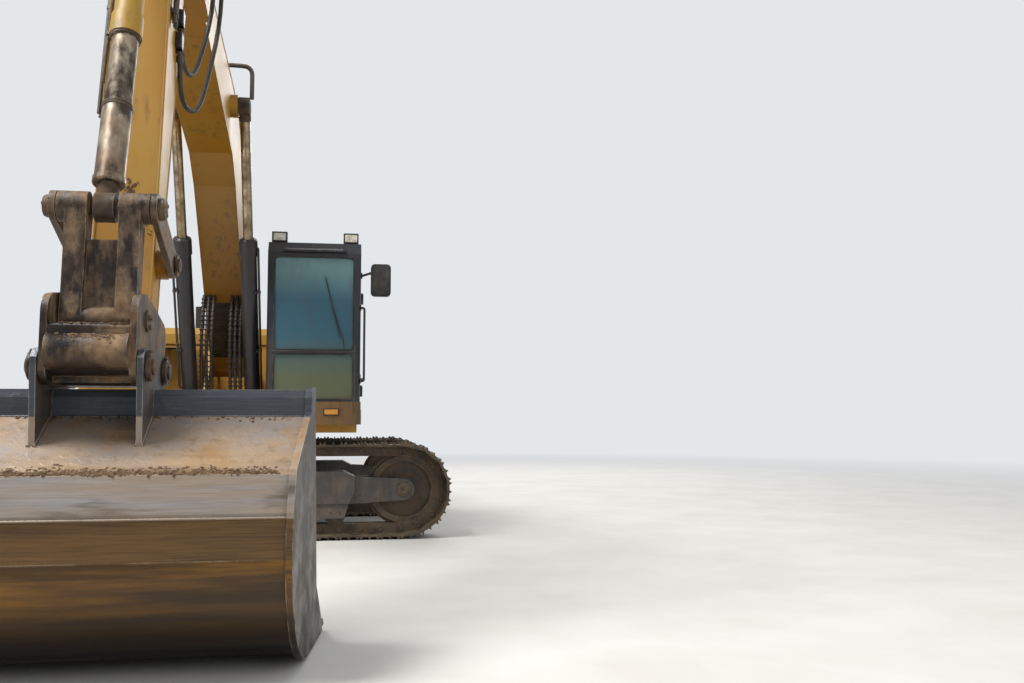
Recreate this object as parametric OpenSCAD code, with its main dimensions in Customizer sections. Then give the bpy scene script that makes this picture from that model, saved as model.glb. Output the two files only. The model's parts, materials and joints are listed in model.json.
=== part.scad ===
// Crawler excavator with a wide smooth-edged bucket on a quick coupler.
// Millimetres. +X is forward along the boom, +Y is the machine's left (the cab side), +Z is up.
// The origin is on the ground, on the swing axis. The undercarriage stands a quarter turn round,
// so its tracks run along Y, and the bucket stands on the ground in front.

/* [Tracks] */
// Distance between the idler and sprocket centres
tumbler_span = 4030; // [3800:10:4300]
// Distance between the two tracks' centre planes
track_gauge = 2600; // [2400:10:2800]
// Width of a track shoe
shoe_w = 600; // [500:10:700]
// Overall height of a track over its grousers
track_h = 1060; // [1000:5:1120]
// Shoes in one track
shoe_count = 50; // [46:1:54]
// Height of a grouser above its shoe plate
grouser_h = 32; // [20:1:45]
// Thickness of a shoe plate
shoe_plate = 18; // [12:1:26]
// Depth of the link chain under the shoe plates
link_depth = 112; // [90:1:130]
// Thickness of one link rail
rail_w = 42; // [30:1:55]
// Distance between the outer faces of the two link rails
rail_span = 190; // [170:2:220]
// Lower rollers under one side frame
roller_count = 9; // [7:1:9]
// Radius of a lower roller's tread
roller_r = 98; // [85:1:105]
// Radius of a carrier roller
carrier_r = 74; // [60:1:80]

/* [Undercarriage frame] */
// Length of a side frame's box beam
side_frame_l = 2950; // [2700:10:3100]
// Width of a side frame's box beam
side_frame_w = 400; // [360:5:440]
// Height of the underside of the side frame's box beam
side_frame_z0 = 385; // [382:1:400]
// Height of the top of the side frame's box beam
side_frame_z1 = 735; // [700:5:740]
// Radius of the centre ring of the car body
centre_r = 690; // [660:5:720]
// Height of the car body's top, under the swing ring
centre_top = 1010; // [980:5:1040]
// Height of the belly plate above the ground
belly_z = 480; // [460:5:520]
// Outer radius of the swing ring
swing_r = 650; // [620:5:660]
// Height of the swing ring
swing_h = 110; // [90:5:130]

/* [Upper structure] */
// Width of the upper structure
deck_w = 2980; // [2900:10:3000]
// Height of the underside of the deck
deck_z0 = 1160; // [1150:5:1180]
// Thickness of the deck
deck_t = 150; // [130:5:170]
// Distance from the swing axis to the deck's rear end
deck_rear = 2300; // [2200:10:2350]
// Distance from the swing axis to the front end of the deck's middle
deck_nose = 1120; // [1080:5:1140]
// Radius of the tail about the swing axis
tail_r = 3200; // [3100:10:3300]
// Height of the counterweight's top
weight_top = 2330; // [2200:10:2400]
// Height of the top of the engine housing, under the hood
house_top = 2300; // [2200:10:2350]
// Height of the hood above the engine housing
hood_h = 220; // [160:10:260]
// Thickness of the engine housing's walls
house_wall = 45; // [30:5:60]

/* [Cab] */
// Width of the cab
cab_w = 1000; // [960:10:1040]
// How far the cab's outer side stands beyond the deck's edge
cab_overhang = 30; // [20:5:40]
// Position of the cab's back
cab_x0 = -100; // [-150:5:-90]
// Position of the cab's front
cab_x1 = 1750; // [1700:5:1800]
// Height of the cab's floor underside above the ground
cab_z0 = 1330; // [1320:5:1340]
// Height of the cab's roof above the ground
cab_z1 = 3240; // [3200:5:3280]
// Thickness of the cab's walls and door
cab_wall = 60; // [50:2:70]
// Thickness of the window glass
glass_t = 8; // [6:1:10]
// Radius of the cab's upright corners
cab_round = 95; // [70:5:110]
// Height of the cab skirt's lower edge above the ground
skirt_z0 = 1250; // [1230:5:1270]
// Thickness of the cab skirt
skirt_plate = 14; // [10:1:18]
// Gap round the door
door_gap = 8; // [6:1:12]
// Position of the door's hinge side
door_x0 = 640; // [600:5:680]
// Position of the door's front edge
door_x1 = 1600; // [1560:5:1640]

/* [Boom] */
// Position of the boom's foot pin ahead of the swing axis
foot_x = 180; // [140:5:220]
// Height of the boom's foot pin
foot_z = 1980; // [1950:5:2020]
// Distance from the boom's foot pin to its tip pin
boom_len = 6200; // [6000:20:6400]
// Angle of the line through the boom's end pins above the ground
boom_angle = 28; // [20:0.5:34]
// Half the width of the boom's box
boom_hw = 205; // [190:1:206]
// Length of the fork at the boom's tip
fork_l = 750; // [740:5:800]
// Thickness of a lug of the boom's fork
fork_t = 52; // [40:2:60]

/* [Stick] */
// Distance from the stick's pivot to its tip pin
stick_len = 3200; // [3000:20:3400]
// Lean of the stick from upright, its tip forward
stick_lean = 14.7; // [10:0.1:20]
// Half the width of the stick's box
stick_hw = 180; // [170:1:182]
// Half the width over the tip's boss
tip_hw = 200; // [196:1:202]
// Distance from the pivot to the tail eye
tail_len = 850; // [800:5:880]

/* [Bucket linkage] */
// Distance from the tip pin back to the idler link's pin
idler_back = 500; // [480:5:520]
// Length of the idler link between its pins
idler_len = 640; // [630:2:650]
// Length of the H-shaped link between its pins
hlink_len = 644; // [636:2:652]
// Distance between the coupler's stick pin and link pin
coupler_span = 544; // [530:2:556]
// Angle of the coupler's two upper pins above level
coupler_tilt = 8; // [4:0.5:12]
// Half the gap between the coupler's side plates
coupler_gap = 208; // [206:1:212]
// Thickness of a coupler side plate
coupler_t = 36; // [30:1:40]

/* [Cylinders] */
// Lateral distance of the boom cylinders from the middle plane
boom_cyl_y = 335; // [333:1:345]
// Radius of a boom cylinder barrel
boom_cyl_r = 84; // [76:1:90]
// Radius of a boom cylinder rod
boom_rod_r = 50; // [42:1:56]
// Length of a boom cylinder barrel from its foot pin
boom_cyl_l = 1950; // [1900:10:2000]
// Radius of the stick cylinder barrel
stick_cyl_r = 90; // [80:1:96]
// Radius of the stick cylinder rod
stick_rod_r = 52; // [44:1:58]
// Length of the stick cylinder barrel from its foot pin
stick_cyl_l = 2000; // [1900:10:2050]
// Radius of the bucket cylinder barrel
bucket_cyl_r = 84; // [76:1:90]
// Radius of the bucket cylinder rod
bucket_rod_r = 52; // [44:1:56]
// Length of the bucket cylinder barrel from its foot pin
bucket_cyl_l = 1600; // [1550:10:1650]

/* [Bucket] */
// Width of the bucket's shell at its back
bucket_w = 2170; // [2000:10:2300]
// Extra width of the bucket on each side per millimetre of depth
bucket_flare = 0.1; // [0.06:0.01:0.12]
// Thickness of the bucket's shell
bucket_shell = 30; // [24:1:36]
// Thickness of the bucket's side plates
bucket_side = 36; // [28:1:42]
// Height of the side plates' edges above the shell
bucket_rim = 26; // [12:1:34]
// Thickness of the wear strip across the shell's back
strip_t = 12; // [6:1:16]
// Half the distance between the ears' inner faces
ear_gap = 250; // [249:1:256]
// Thickness of an ear
ear_t = 32; // [26:1:38]

/* [Hidden] */
$fn = 48;

// Clearances: a flat or round seat within one body, a pin in its bore, and side play between bodies
seat = 0.3;
pin_fit = 0.05;
play = 6;

// Pin radii
foot_pin_r = 60;
boom_cyl_pin_r = 50;
stick_cyl_pin_r = 46;
bucket_cyl_pin_r = 44;
link_pin_r = 44;
bucket_pin_r = 45;

// Track levels above the ground
tumbler_z = track_h / 2;
plate_r = tumbler_z - grouser_h;
chain_r = plate_r - shoe_plate;
rail_r = chain_r - link_depth;
track_y = track_gauge / 2;

// Points of the side plane as [forward, up]
deck_top = deck_z0 + deck_t;
foot_p = [foot_x, foot_z];
boom_cyl_foot = [1020, deck_top + 140];
boom_cyl_eye_local = [3280, 1020];
stick_cyl_foot_local = [3400, 1345];
tail_angle = 150;
bucket_cyl_foot_local = [-150, 430];

function dir(a) = [cos(a), sin(a)];
function turn(p, a) = [p[0] * cos(a) - p[1] * sin(a), p[0] * sin(a) + p[1] * cos(a)];
function heading(p, q) = atan2(q[1] - p[1], q[0] - p[0]);
// Point where circles of radii r and s about p and q meet, on the left of the way from p to q
function meet(p, r, q, s) =
    let (d = norm(q - p), a = (r * r - s * s + d * d) / (2 * d), h = sqrt(r * r - a * a))
    p + turn([a, h], heading(p, q));

function on_boom(p) = foot_p + turn(p, boom_angle);
stick_angle = stick_lean - 90;
boom_tip = on_boom([boom_len, 0]);
function on_stick(p) = boom_tip + turn(p, stick_angle);

boom_cyl_eye = on_boom(boom_cyl_eye_local);
stick_cyl_foot = on_boom(stick_cyl_foot_local);
tail_local = tail_len * dir(tail_angle);
stick_tail = on_stick(tail_local);
bucket_cyl_foot = on_stick(bucket_cyl_foot_local);
stick_tip = on_stick([stick_len, 0]);
idler_pin = on_stick([stick_len - idler_back, 0]);
link_pin = stick_tip + coupler_span * dir(coupler_tilt);
knuckle = meet(idler_pin, idler_len, link_pin, hlink_len);
bucket_pin_rear = stick_tip + [190, -195];
bucket_pin_front = stick_tip + [700, -185];

// Side profile between y0 and y1, drawn as [forward, up]
module slab(y0, y1) {
    translate([0, y1, 0]) rotate([90, 0, 0]) linear_extrude(y1 - y0) children();
}
module round_bar(r, y0, y1) {
    slab(y0, y1) circle(r);
}
module both_sides() {
    children();
    mirror([0, 1, 0]) children();
}
module at(p) {
    translate([p[0], 0, p[1]]) children();
}
// Frame at p whose forward axis points at angle a above level
module frame_at(p, a) {
    at(p) rotate([0, -a, 0]) children();
}
module in_boom() {
    frame_at(foot_p, boom_angle) children();
}
module in_stick() {
    frame_at(boom_tip, stick_angle) children();
}
// Undercarriage frame: its forward axis lies along the tracks
module in_tracks() {
    rotate([0, 0, 90]) children();
}
// Long outline with round ends between two points
module strap(p, rp, q, rq) {
    a = heading(p, q);
    d = norm(q - p);
    s = asin((rp - rq) / d);
    translate(p) circle(rp);
    translate(q) circle(rq);
    polygon([p + rp * dir(a + 90 - s), p + rp * dir(a - 90 + s),
        q + rq * dir(a - 90 + s), q + rq * dir(a + 90 - s)]);
}

steel_dark = "#3a3d40";
paint = "#d9a021";
chrome = "#c9ccd0";
worn = "#6b5a48";

// Undercarriage

// Point on the track's outline, t pitches round from the bottom run's rear end, at height h over the chain line
pitch_len = (2 * tumbler_span + 2 * PI * chain_r) / shoe_count;
function track_point(t, h) =
    let (
        d = t * pitch_len,
        arc = PI * chain_r,
        half = tumbler_span / 2,
        leg = tumbler_span
    )
    d < leg ? [-half + d, -chain_r - h]
    : d < leg + arc ? [half, 0] + (chain_r + h) * dir(-90 + (d - leg) / arc * 180)
    : d < 2 * leg + arc ? [half - (d - leg - arc), chain_r + h]
    : [-half, 0] + (chain_r + h) * dir(90 + (d - 2 * leg - arc) / arc * 180);

// One shoe's outer edge: [share of the pitch, share of the grouser's height]
shoe_edge = [[0.02, 0], [0.1, 1], [0.18, 0], [0.43, 0], [0.5, 0.86], [0.57, 0], [0.82, 0], [0.9, 1]];

module track_loop_outline() {
    difference() {
        polygon([for (i = [0 : shoe_count - 1], e = shoe_edge)
            track_point(i + e[0], shoe_plate + e[1] * grouser_h)]);
        polygon([for (i = [0 : shoe_count - 1]) track_point(i, 0)]);
    }
}
module rail_outline() {
    difference() {
        polygon([for (i = [0 : shoe_count - 1]) track_point(i, 1)]);
        strap([-tumbler_span / 2, 0], rail_r, [tumbler_span / 2, 0], rail_r);
    }
}
module track(side) {
    color(steel_dark)
    in_tracks()
    translate([0, -side * track_y, tumbler_z]) {
        slab(-shoe_w / 2, shoe_w / 2) track_loop_outline();
        both_sides() slab(rail_span / 2 - rail_w, rail_span / 2) rail_outline();
    }
}
module track_left() {
    track(-1);
}
module track_right() {
    track(1);
}

// Places both side frames' pieces, drawn with the outer side towards +Y
module each_side() {
    in_tracks() {
        translate([0, track_y, 0]) children();
        mirror([0, 1, 0]) translate([0, track_y, 0]) children();
    }
}

skirt_y = 152;
skirt_t = 26;
roller_z = tumbler_z - rail_r + roller_r + seat;
carrier_z = tumbler_z + rail_r - carrier_r - seat;
carrier_x = [-750, 700];
yoke_y = 112;
yoke_t = 40;
idler_shaft_r = 58;
hub_r = 205;

module side_frame() {
    half = side_frame_l / 2;
    // box beam with sloping end faces
    slab(-side_frame_w / 2, side_frame_w / 2)
    polygon([[-half + 60, side_frame_z0], [half - 60, side_frame_z0], [half, side_frame_z0 + 120],
        [half, side_frame_z1 - 60], [half - 120, side_frame_z1], [-half + 200, side_frame_z1],
        [-half, side_frame_z1 - 160]]);
    // skirts that carry the lower rollers
    both_sides()
    slab(skirt_y, skirt_y + skirt_t)
    polygon([[-half + 60, side_frame_z0 + 1], [-half + 110, 225], [half - 110, 225], [half - 60, side_frame_z0 + 1]]);
    // yokes at the idler
    both_sides()
    slab(yoke_y, yoke_y + yoke_t)
    difference() {
        union() {
            strap([half - 60, tumbler_z], 150, [tumbler_span / 2, tumbler_z], 118);
        }
        translate([tumbler_span / 2, tumbler_z]) circle(idler_shaft_r + seat);
    }
    // plate that carries the final drive, on the inner side only
    slab(-yoke_y - yoke_t, -yoke_y)
    difference() {
        strap([-half + 150, tumbler_z + 10], 170, [-tumbler_span / 2, tumbler_z], 262);
        translate([-tumbler_span / 2, tumbler_z]) circle(hub_r + seat);
    }
    // carrier roller brackets
    for (x = carrier_x)
        slab(-115, -80)
        difference() {
            union() {
                translate([x - 60, side_frame_z1 - 1]) square([120, carrier_z - side_frame_z1 + 1]);
                translate([x, carrier_z]) circle(60);
            }
            translate([x, carrier_z]) circle(26 + seat);
        }
}
module track_frames() {
    color(steel_dark)
    each_side() side_frame();
}
module idler_wheels() {
    color(steel_dark)
    each_side()
    at([tumbler_span / 2, tumbler_z]) {
        difference() {
            union() {
                round_bar(rail_r - seat, -rail_span / 2, rail_span / 2);
                round_bar(rail_r + 36, -rail_span / 2 + rail_w + 8, rail_span / 2 - rail_w - 8);
            }
            both_sides() slab(38, rail_span / 2 + 1) difference() {
                circle(rail_r - 60);
                circle(120);
            }
        }
        round_bar(idler_shaft_r, -yoke_y - yoke_t - 12, yoke_y + yoke_t + 12);
    }
}
tooth_count = 21;
module sprockets() {
    color(steel_dark)
    each_side()
    at([-tumbler_span / 2, tumbler_z])
    slab(-30, 30)
    difference() {
        union() {
            circle(rail_r - 12);
            for (i = [0 : tooth_count - 1])
                rotate(i * 360 / tooth_count)
                polygon([[rail_r - 30, -34], [rail_r + 42, -13], [rail_r + 42, 13], [rail_r - 30, 34]]);
        }
        circle(hub_r + seat);
    }
}
module final_drives() {
    color(steel_dark)
    each_side()
    at([-tumbler_span / 2, tumbler_z]) {
        round_bar(hub_r, -yoke_y - yoke_t - 150, 95);
        round_bar(hub_r + 42, 31, 72);
        round_bar(hub_r - 45, 94, 150);
        slab(-yoke_y - yoke_t - 320, -yoke_y - yoke_t - 149) circle(140);
    }
}
module lower_rollers() {
    pitch = (side_frame_l - 420) / (roller_count - 1);
    color(steel_dark)
    each_side()
    for (i = [0 : roller_count - 1])
        at([-side_frame_l / 2 + 210 + i * pitch, roller_z]) {
            round_bar(roller_r - 28, -skirt_y + seat, skirt_y - seat);
            both_sides() round_bar(roller_r, rail_span / 2 - rail_w, rail_span / 2 + 4);
            both_sides() round_bar(roller_r + 18, rail_span / 2 + 4, rail_span / 2 + 24);
        }
}
module carrier_rollers() {
    color(steel_dark)
    each_side()
    for (x = carrier_x)
        at([x, carrier_z]) {
            round_bar(carrier_r, -80 + seat, 95);
            round_bar(26, -140, -79);
        }
}

leg_inner = 420;
leg_outer = 820;
module car_body() {
    frame_face = track_y - side_frame_w / 2;
    color(steel_dark)
    in_tracks() {
        // four legs and the belly
        difference() {
            translate([0, 0, belly_z])
            linear_extrude(side_frame_z1 - belly_z - 40)
            union() {
                circle(centre_r);
                for (sx = [-1, 1], sy = [-1, 1])
                    polygon([[sx * 60, sy * 300], [sx * leg_inner, sy * frame_face],
                        [sx * (leg_outer + 230), sy * frame_face], [sx * centre_r * 0.95, 0]]);
            }
            // swivel joint's opening through the belly
            translate([0, 0, belly_z - 1]) cylinder(r = 220, h = side_frame_z1);
        }
        // centre drum under the swing ring
        difference() {
            translate([0, 0, side_frame_z1 - 60]) cylinder(r1 = centre_r + 40, r2 = centre_r - 10,
                h = centre_top - side_frame_z1 + 60, $fn = 96);
            translate([0, 0, belly_z]) cylinder(r = 220, h = centre_top);
        }
    }
}
module swing_ring() {
    color(steel_dark)
    translate([0, 0, centre_top])
    difference() {
        union() {
            cylinder(r = swing_r, h = swing_h, $fn = 96);
            cylinder(r = swing_r + 24, h = 30, $fn = 96);
        }
        translate([0, 0, -1]) cylinder(r = swing_r - 110, h = swing_h + 2, $fn = 96);
    }
}

// Upper structure

tower_gap = 212;
tower_t = 45;
lug_t = 34;
cyl_eye_hw = 55;
half_deck = deck_w / 2;
cab_y0 = half_deck + cab_overhang - cab_w;
collar_z = centre_top + swing_h + seat;

module deck() {
    color(paint) {
        // floor of the upper structure
        translate([0, 0, deck_z0])
        linear_extrude(deck_t)
        polygon([[-deck_rear, -half_deck], [1480, -half_deck], [1480, -720], [deck_nose, -430],
            [deck_nose, 430], [cab_x1 - 430, cab_y0], [cab_x1 - 230, cab_y0], [cab_x1 - 230, half_deck],
            [-deck_rear, half_deck]]);
        // bearing collar
        translate([0, 0, collar_z])
        difference() {
            cylinder(r = swing_r + 10, h = deck_z0 - collar_z + 1, $fn = 96);
            translate([0, 0, -1]) cylinder(r = swing_r - 120, h = deck_z0 - collar_z + 2, $fn = 96);
        }
        // boom towers
        both_sides()
        slab(tower_gap, tower_gap + tower_t)
        difference() {
            union() {
                translate(foot_p) circle(165);
                polygon([[-1150, deck_top - 1], [-1150, deck_top + 60], [-260, foot_z - 120],
                    [foot_x - 130, foot_z + 100], [foot_x + 150, foot_z + 66], [760, deck_top + 170],
                    [deck_nose - 20, deck_top + 40], [deck_nose - 20, deck_top - 1]]);
            }
            translate(foot_p) circle(foot_pin_r + pin_fit);
        }
        // lugs of the boom cylinders
        both_sides()
        for (y = [boom_cyl_y - cyl_eye_hw - play - lug_t, boom_cyl_y + cyl_eye_hw + play])
            slab(y, y + lug_t)
            difference() {
                union() {
                    translate(boom_cyl_foot) circle(90);
                    polygon([[boom_cyl_foot[0] - 190, deck_top - 1], boom_cyl_foot + [-84, 34],
                        boom_cyl_foot + [88, 10], [deck_nose - 14, deck_top - 1]]);
                }
                translate(boom_cyl_foot) circle(boom_cyl_pin_r + pin_fit);
            }
    }
}
module upper_pins() {
    color(steel_dark) {
        at(foot_p) {
            round_bar(foot_pin_r, -tower_gap - tower_t - 22, tower_gap + tower_t + 22);
            both_sides() round_bar(foot_pin_r + 34, tower_gap + tower_t + seat, tower_gap + tower_t + 24);
        }
        lug_out = boom_cyl_y + cyl_eye_hw + play + lug_t;
        both_sides()
        at(boom_cyl_foot) {
            round_bar(boom_cyl_pin_r, tower_gap + tower_t + 4, lug_out + 14);
            round_bar(boom_cyl_pin_r + 24, lug_out + seat, lug_out + 20);
        }
    }
}
// Half of the counterweight's section through the tail: [distance from the swing axis, height]
module weight_section() {
    edge_r = 130;
    low = deck_z0 + 20;
    polygon([[0, low], [tail_r - 230, low], [tail_r - 40, low + 330], [tail_r, low + 620],
        [tail_r, weight_top - edge_r], [tail_r - edge_r, weight_top], [0, weight_top]]);
    translate([tail_r - edge_r, weight_top - edge_r]) circle(edge_r);
}
weight_corner = 320;
module counterweight() {
    socket_x = -2700;
    socket_y = 620;
    socket_r = 40;
    socket_depth = 120;
    color(paint)
    difference() {
        intersection() {
            rotate_extrude($fn = 180) intersection() {
                weight_section();
                square([tail_r + 10, weight_top + 10]);
            }
            // rounded rear corners
            translate([0, 0, deck_z0])
            linear_extrude(weight_top)
            union() {
                translate([-tail_r + weight_corner + 200, -half_deck])
                square([tail_r - weight_corner - 200 - deck_rear - seat, deck_w]);
                translate([-tail_r - 10, -half_deck + weight_corner])
                square([tail_r - deck_rear - seat, deck_w - 2 * weight_corner]);
                for (s = [-1, 1])
                    translate([-tail_r + weight_corner + 200, s * (half_deck - weight_corner)]) circle(weight_corner);
            }
        }
        // lifting eye sockets in the top
        for (s = [-1, 1])
            translate([socket_x, s * socket_y, weight_top - socket_depth]) cylinder(r = socket_r, h = socket_depth + 10);
    }
}
module engine_block() {
    color(steel_dark)
    translate([-2120, -560, deck_top]) cube([700, 1120, 800]);
}
house_x0 = -deck_rear;
house_x1 = -1260;
module louvres(n, l) {
    // row of n slanted slots, each l long, drawn upwards from the origin, cut inwards along -Y
    for (i = [0 : n - 1])
        translate([0, 0, i * 62]) rotate([32, 0, 0]) translate([0, -60, 0]) cube([l, 90, 22]);
}
module engine_housing() {
    color(paint)
    difference() {
        translate([house_x0, -half_deck, deck_top]) cube([house_x1 - house_x0, deck_w, house_top - deck_top]);
        translate([house_x0 + house_wall, -half_deck + house_wall, deck_top - 1])
        cube([house_x1 - house_x0 - 2 * house_wall, deck_w - 2 * house_wall, house_top - deck_top + 2]);
        both_sides()
        translate([house_x0 + 170, half_deck, deck_top + 210]) louvres(10, 700);
    }
}
module engine_hood() {
    over = 26;
    color(paint)
    difference() {
        translate([0, half_deck - 40, 0])
        rotate([90, 0, 0])
        linear_extrude(deck_w - 80)
        polygon([[house_x0 + 12, house_top + seat], [house_x1 + over, house_top + seat],
            [house_x1 + over, house_top + hood_h - 90], [house_x1 - 70, house_top + hood_h],
            [house_x0 + 90, house_top + hood_h], [house_x0 + 12, house_top + hood_h - 70]]);
        translate([house_x0 + house_wall, -half_deck + 40 + house_wall, house_top - 1])
        cube([house_x1 - house_x0 - 2 * house_wall, deck_w - 80 - 2 * house_wall, hood_h - 38]);
    }
}
module side_locker() {
    // compartment behind the cab
    x0 = house_x1 + 4;
    x1 = cab_x0 - 40;
    color(paint)
    difference() {
        translate([x0, 560, deck_top]) cube([x1 - x0, half_deck - 560, house_top - deck_top - 30]);
        translate([x0 + 140, half_deck, deck_top + 380]) louvres(8, x1 - x0 - 280);
    }
}
tank_x0 = house_x1 + 4;
tank_x1 = 640;
module tanks() {
    // hydraulic tank behind, fuel tank ahead, along the right side
    mid = -330;
    color(paint) {
        difference() {
            translate([tank_x0, -half_deck, deck_top]) cube([mid - 3 - tank_x0, half_deck - 330, 900]);
            translate([tank_x0 + 100, -half_deck - 1, deck_top + 120]) cube([mid - tank_x0 - 220, 13, 640]);
        }
        translate([mid + 3, -half_deck, deck_top])
        intersection() {
            cube([tank_x1 - mid - 3, half_deck - 400, 820]);
            rotate([90, 0, 90]) linear_extrude(tank_x1)
            polygon([[0, 0], [half_deck, 0], [half_deck, 820], [110, 820], [0, 710]]);
        }
        translate([120, -half_deck + 330, deck_top + 819]) cylinder(r = 70, h = 60);
    }
}
module step_box() {
    // toolbox with steps up to the deck in its front
    x0 = tank_x1 + 4;
    x1 = 1470;
    y0 = -half_deck + 10;
    w = 640;
    color(paint)
    difference() {
        translate([0, y0 + w, 0]) rotate([90, 0, 0]) linear_extrude(w)
        polygon([[x0, deck_top], [x1, deck_top], [x1, deck_top + 240], [x1 - 230, deck_top + 260],
            [x1 - 230, deck_top + 500], [x1 - 460, deck_top + 520], [x1 - 460, deck_top + 760], [x0, deck_top + 780]]);
        for (p = [[x1, 70], [x1 - 230, 330], [x1 - 460, 590]])
            translate([p[0] - 60, y0 + 90, deck_top + p[1]]) cube([80, w - 180, 110]);
    }
}
module centre_cover() {
    color(paint)
    translate([house_x1 + 4, -tower_gap + play, deck_top])
    cube([700, 2 * (tower_gap - play), 640]);
}
rail_r_tube = 20;
module post(p, h) {
    translate(p) cylinder(r = rail_r_tube, h = h, $fn = 24);
}
module handrails() {
    top = deck_top + 820 + 560;
    y = -half_deck + 150;
    color(steel_dark) {
        post([560, y, deck_top + 820], 560);
        post([-200, y, deck_top + 820], 560);
        translate([-200, y, top]) rotate([0, 90, 0]) cylinder(r = rail_r_tube, h = 760, $fn = 24);
        for (x = [-200, 560]) translate([x, y, top]) sphere(rail_r_tube, $fn = 24);
    }
}
module exhaust() {
    color(steel_dark)
    translate([-1750, -620, house_top + hood_h])
    difference() {
        union() {
            cylinder(r = 62, h = 330);
            cylinder(r = 95, h = 24);
        }
        translate([0, 0, 40]) cylinder(r = 55, h = 330);
    }
}

// Cab

cab_y1 = cab_y0 + cab_w;
// Side outline of the cab, drawn in by w from its outer faces
function cab_outline(w) = [
    [cab_x0 + w, cab_z0 + w], [cab_x1 - 110 - w * 0.6, cab_z0 + w], [cab_x1 - w, cab_z0 + 160],
    [cab_x1 - w, cab_z0 + 700], [cab_x1 - 90 - w, cab_z1 - 120], [cab_x1 - 190 - w * 0.6, cab_z1 - w],
    [cab_x0 + 60 + w * 0.4, cab_z1 - w], [cab_x0 + w, cab_z1 - 70]];
sill_z = cab_z0 + 190;
head_z = cab_z1 - 170;
split_z = cab_z0 + 700;
pillar = 75;

// Rectangle with round corners, from one corner to the other
module rounded(p, q, r) {
    size = q - p;
    translate(p + [r, 0]) square([size[0] - 2 * r, size[1]]);
    translate(p + [0, r]) square([size[0], size[1] - 2 * r]);
    for (x = [p[0] + r, q[0] - r], y = [p[1] + r, q[1] - r])
        translate([x, y]) circle(r);
}
// Plan of the cab, its walls moved out by w
module cab_plan(w) {
    rounded([cab_x0 - w, cab_y0 - w], [cab_x1 + w, cab_y1 + w], cab_round + w);
}
// Cab's form, its walls moved in by w
module cab_form(w) {
    intersection() {
        slab(cab_y0, cab_y1) polygon(cab_outline(w));
        linear_extrude(cab_z1 + 100) cab_plan(-w);
    }
}
// Cut for a window that looks along X: [across, up] from p to q
module front_cut(p, q, x, depth) {
    translate([x, 0, 0]) rotate([90, 0, 90]) linear_extrude(depth) rounded(p, q, 45);
}
module side_cut(p, q, y, depth) {
    slab(y, y + depth) rounded(p, q, 45);
}
// Corners of the windows: [across or forward, up]
front_windows = [[[cab_y0 + pillar, split_z + 22], [cab_y1 - pillar, head_z]],
    [[cab_y0 + pillar, sill_z], [cab_y1 - pillar, split_z - 22]]];
right_window = [[cab_x0 + 210, cab_z0 + 820], [cab_x1 - 270, head_z]];
left_window = [[cab_x0 + 130, cab_z0 + 820], [door_x0 - 110, head_z]];
rear_window = [[cab_y0 + 130, cab_z0 + 900], [cab_y1 - 130, head_z]];
module cab_windows() {
    for (w = front_windows)
        front_cut(w[0], w[1], cab_x1 - 260, 400);
    side_cut(right_window[0], right_window[1], cab_y0 - 1, cab_wall + 2);
    side_cut(left_window[0], left_window[1], cab_y1 - cab_wall - 1, cab_wall + 2);
    front_cut(rear_window[0], rear_window[1], cab_x0 - 1, cab_wall + 2);
}
module door_opening(grow) {
    slab(cab_y1 - cab_wall - 1, cab_y1 + 1)
    polygon([[door_x0 - grow, cab_z0 + 90 - grow], [door_x1 + grow, cab_z0 + 90 - grow],
        [door_x1 + grow, head_z - 90], [door_x1 - 60 + grow, head_z + grow], [door_x0 - grow, head_z + grow]]);
}
hinge = [door_x0 - 30, cab_y1 + 28];
hinge_pin_r = 12;
hinge_r = 22;
hinge_z = [cab_z0 + 300, cab_z0 + 1400];
module cab_shell() {
    // hinge posts, each with its pin
    color(steel_dark)
    for (z = hinge_z) {
        translate([hinge[0], hinge[1], z]) {
            translate([0, 0, -60]) cylinder(r = hinge_r, h = 60);
            translate([0, 0, -1]) cylinder(r = hinge_pin_r, h = 76);
            translate([-hinge_r, -32, -60]) cube([2 * hinge_r, 32, 60]);
        }
    }
    color(steel_dark)
    difference() {
        union() {
            cab_form(0);
            // brow over the windscreen
            slab(cab_y0 + 170, cab_y1 - 170)
            polygon([[cab_x1 - 230, cab_z1 - 22], [cab_x1 - 50, cab_z1 - 96], [cab_x1 - 54, cab_z1 - 118],
                [cab_x1 - 240, cab_z1 - 70]]);
        }
        cab_form(cab_wall);
        cab_windows();
        door_opening(door_gap);
    }
    // mounts between the cab's floor and the deck
    color(steel_dark)
    for (x = [cab_x0 + 150, cab_x1 - 320], y = [cab_y0 + 140, cab_y0 + cab_w - 140])
        translate([x, y, deck_top]) cylinder(r = 70, h = cab_z0 - deck_top + 1);
}
glass_in = 22;
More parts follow.
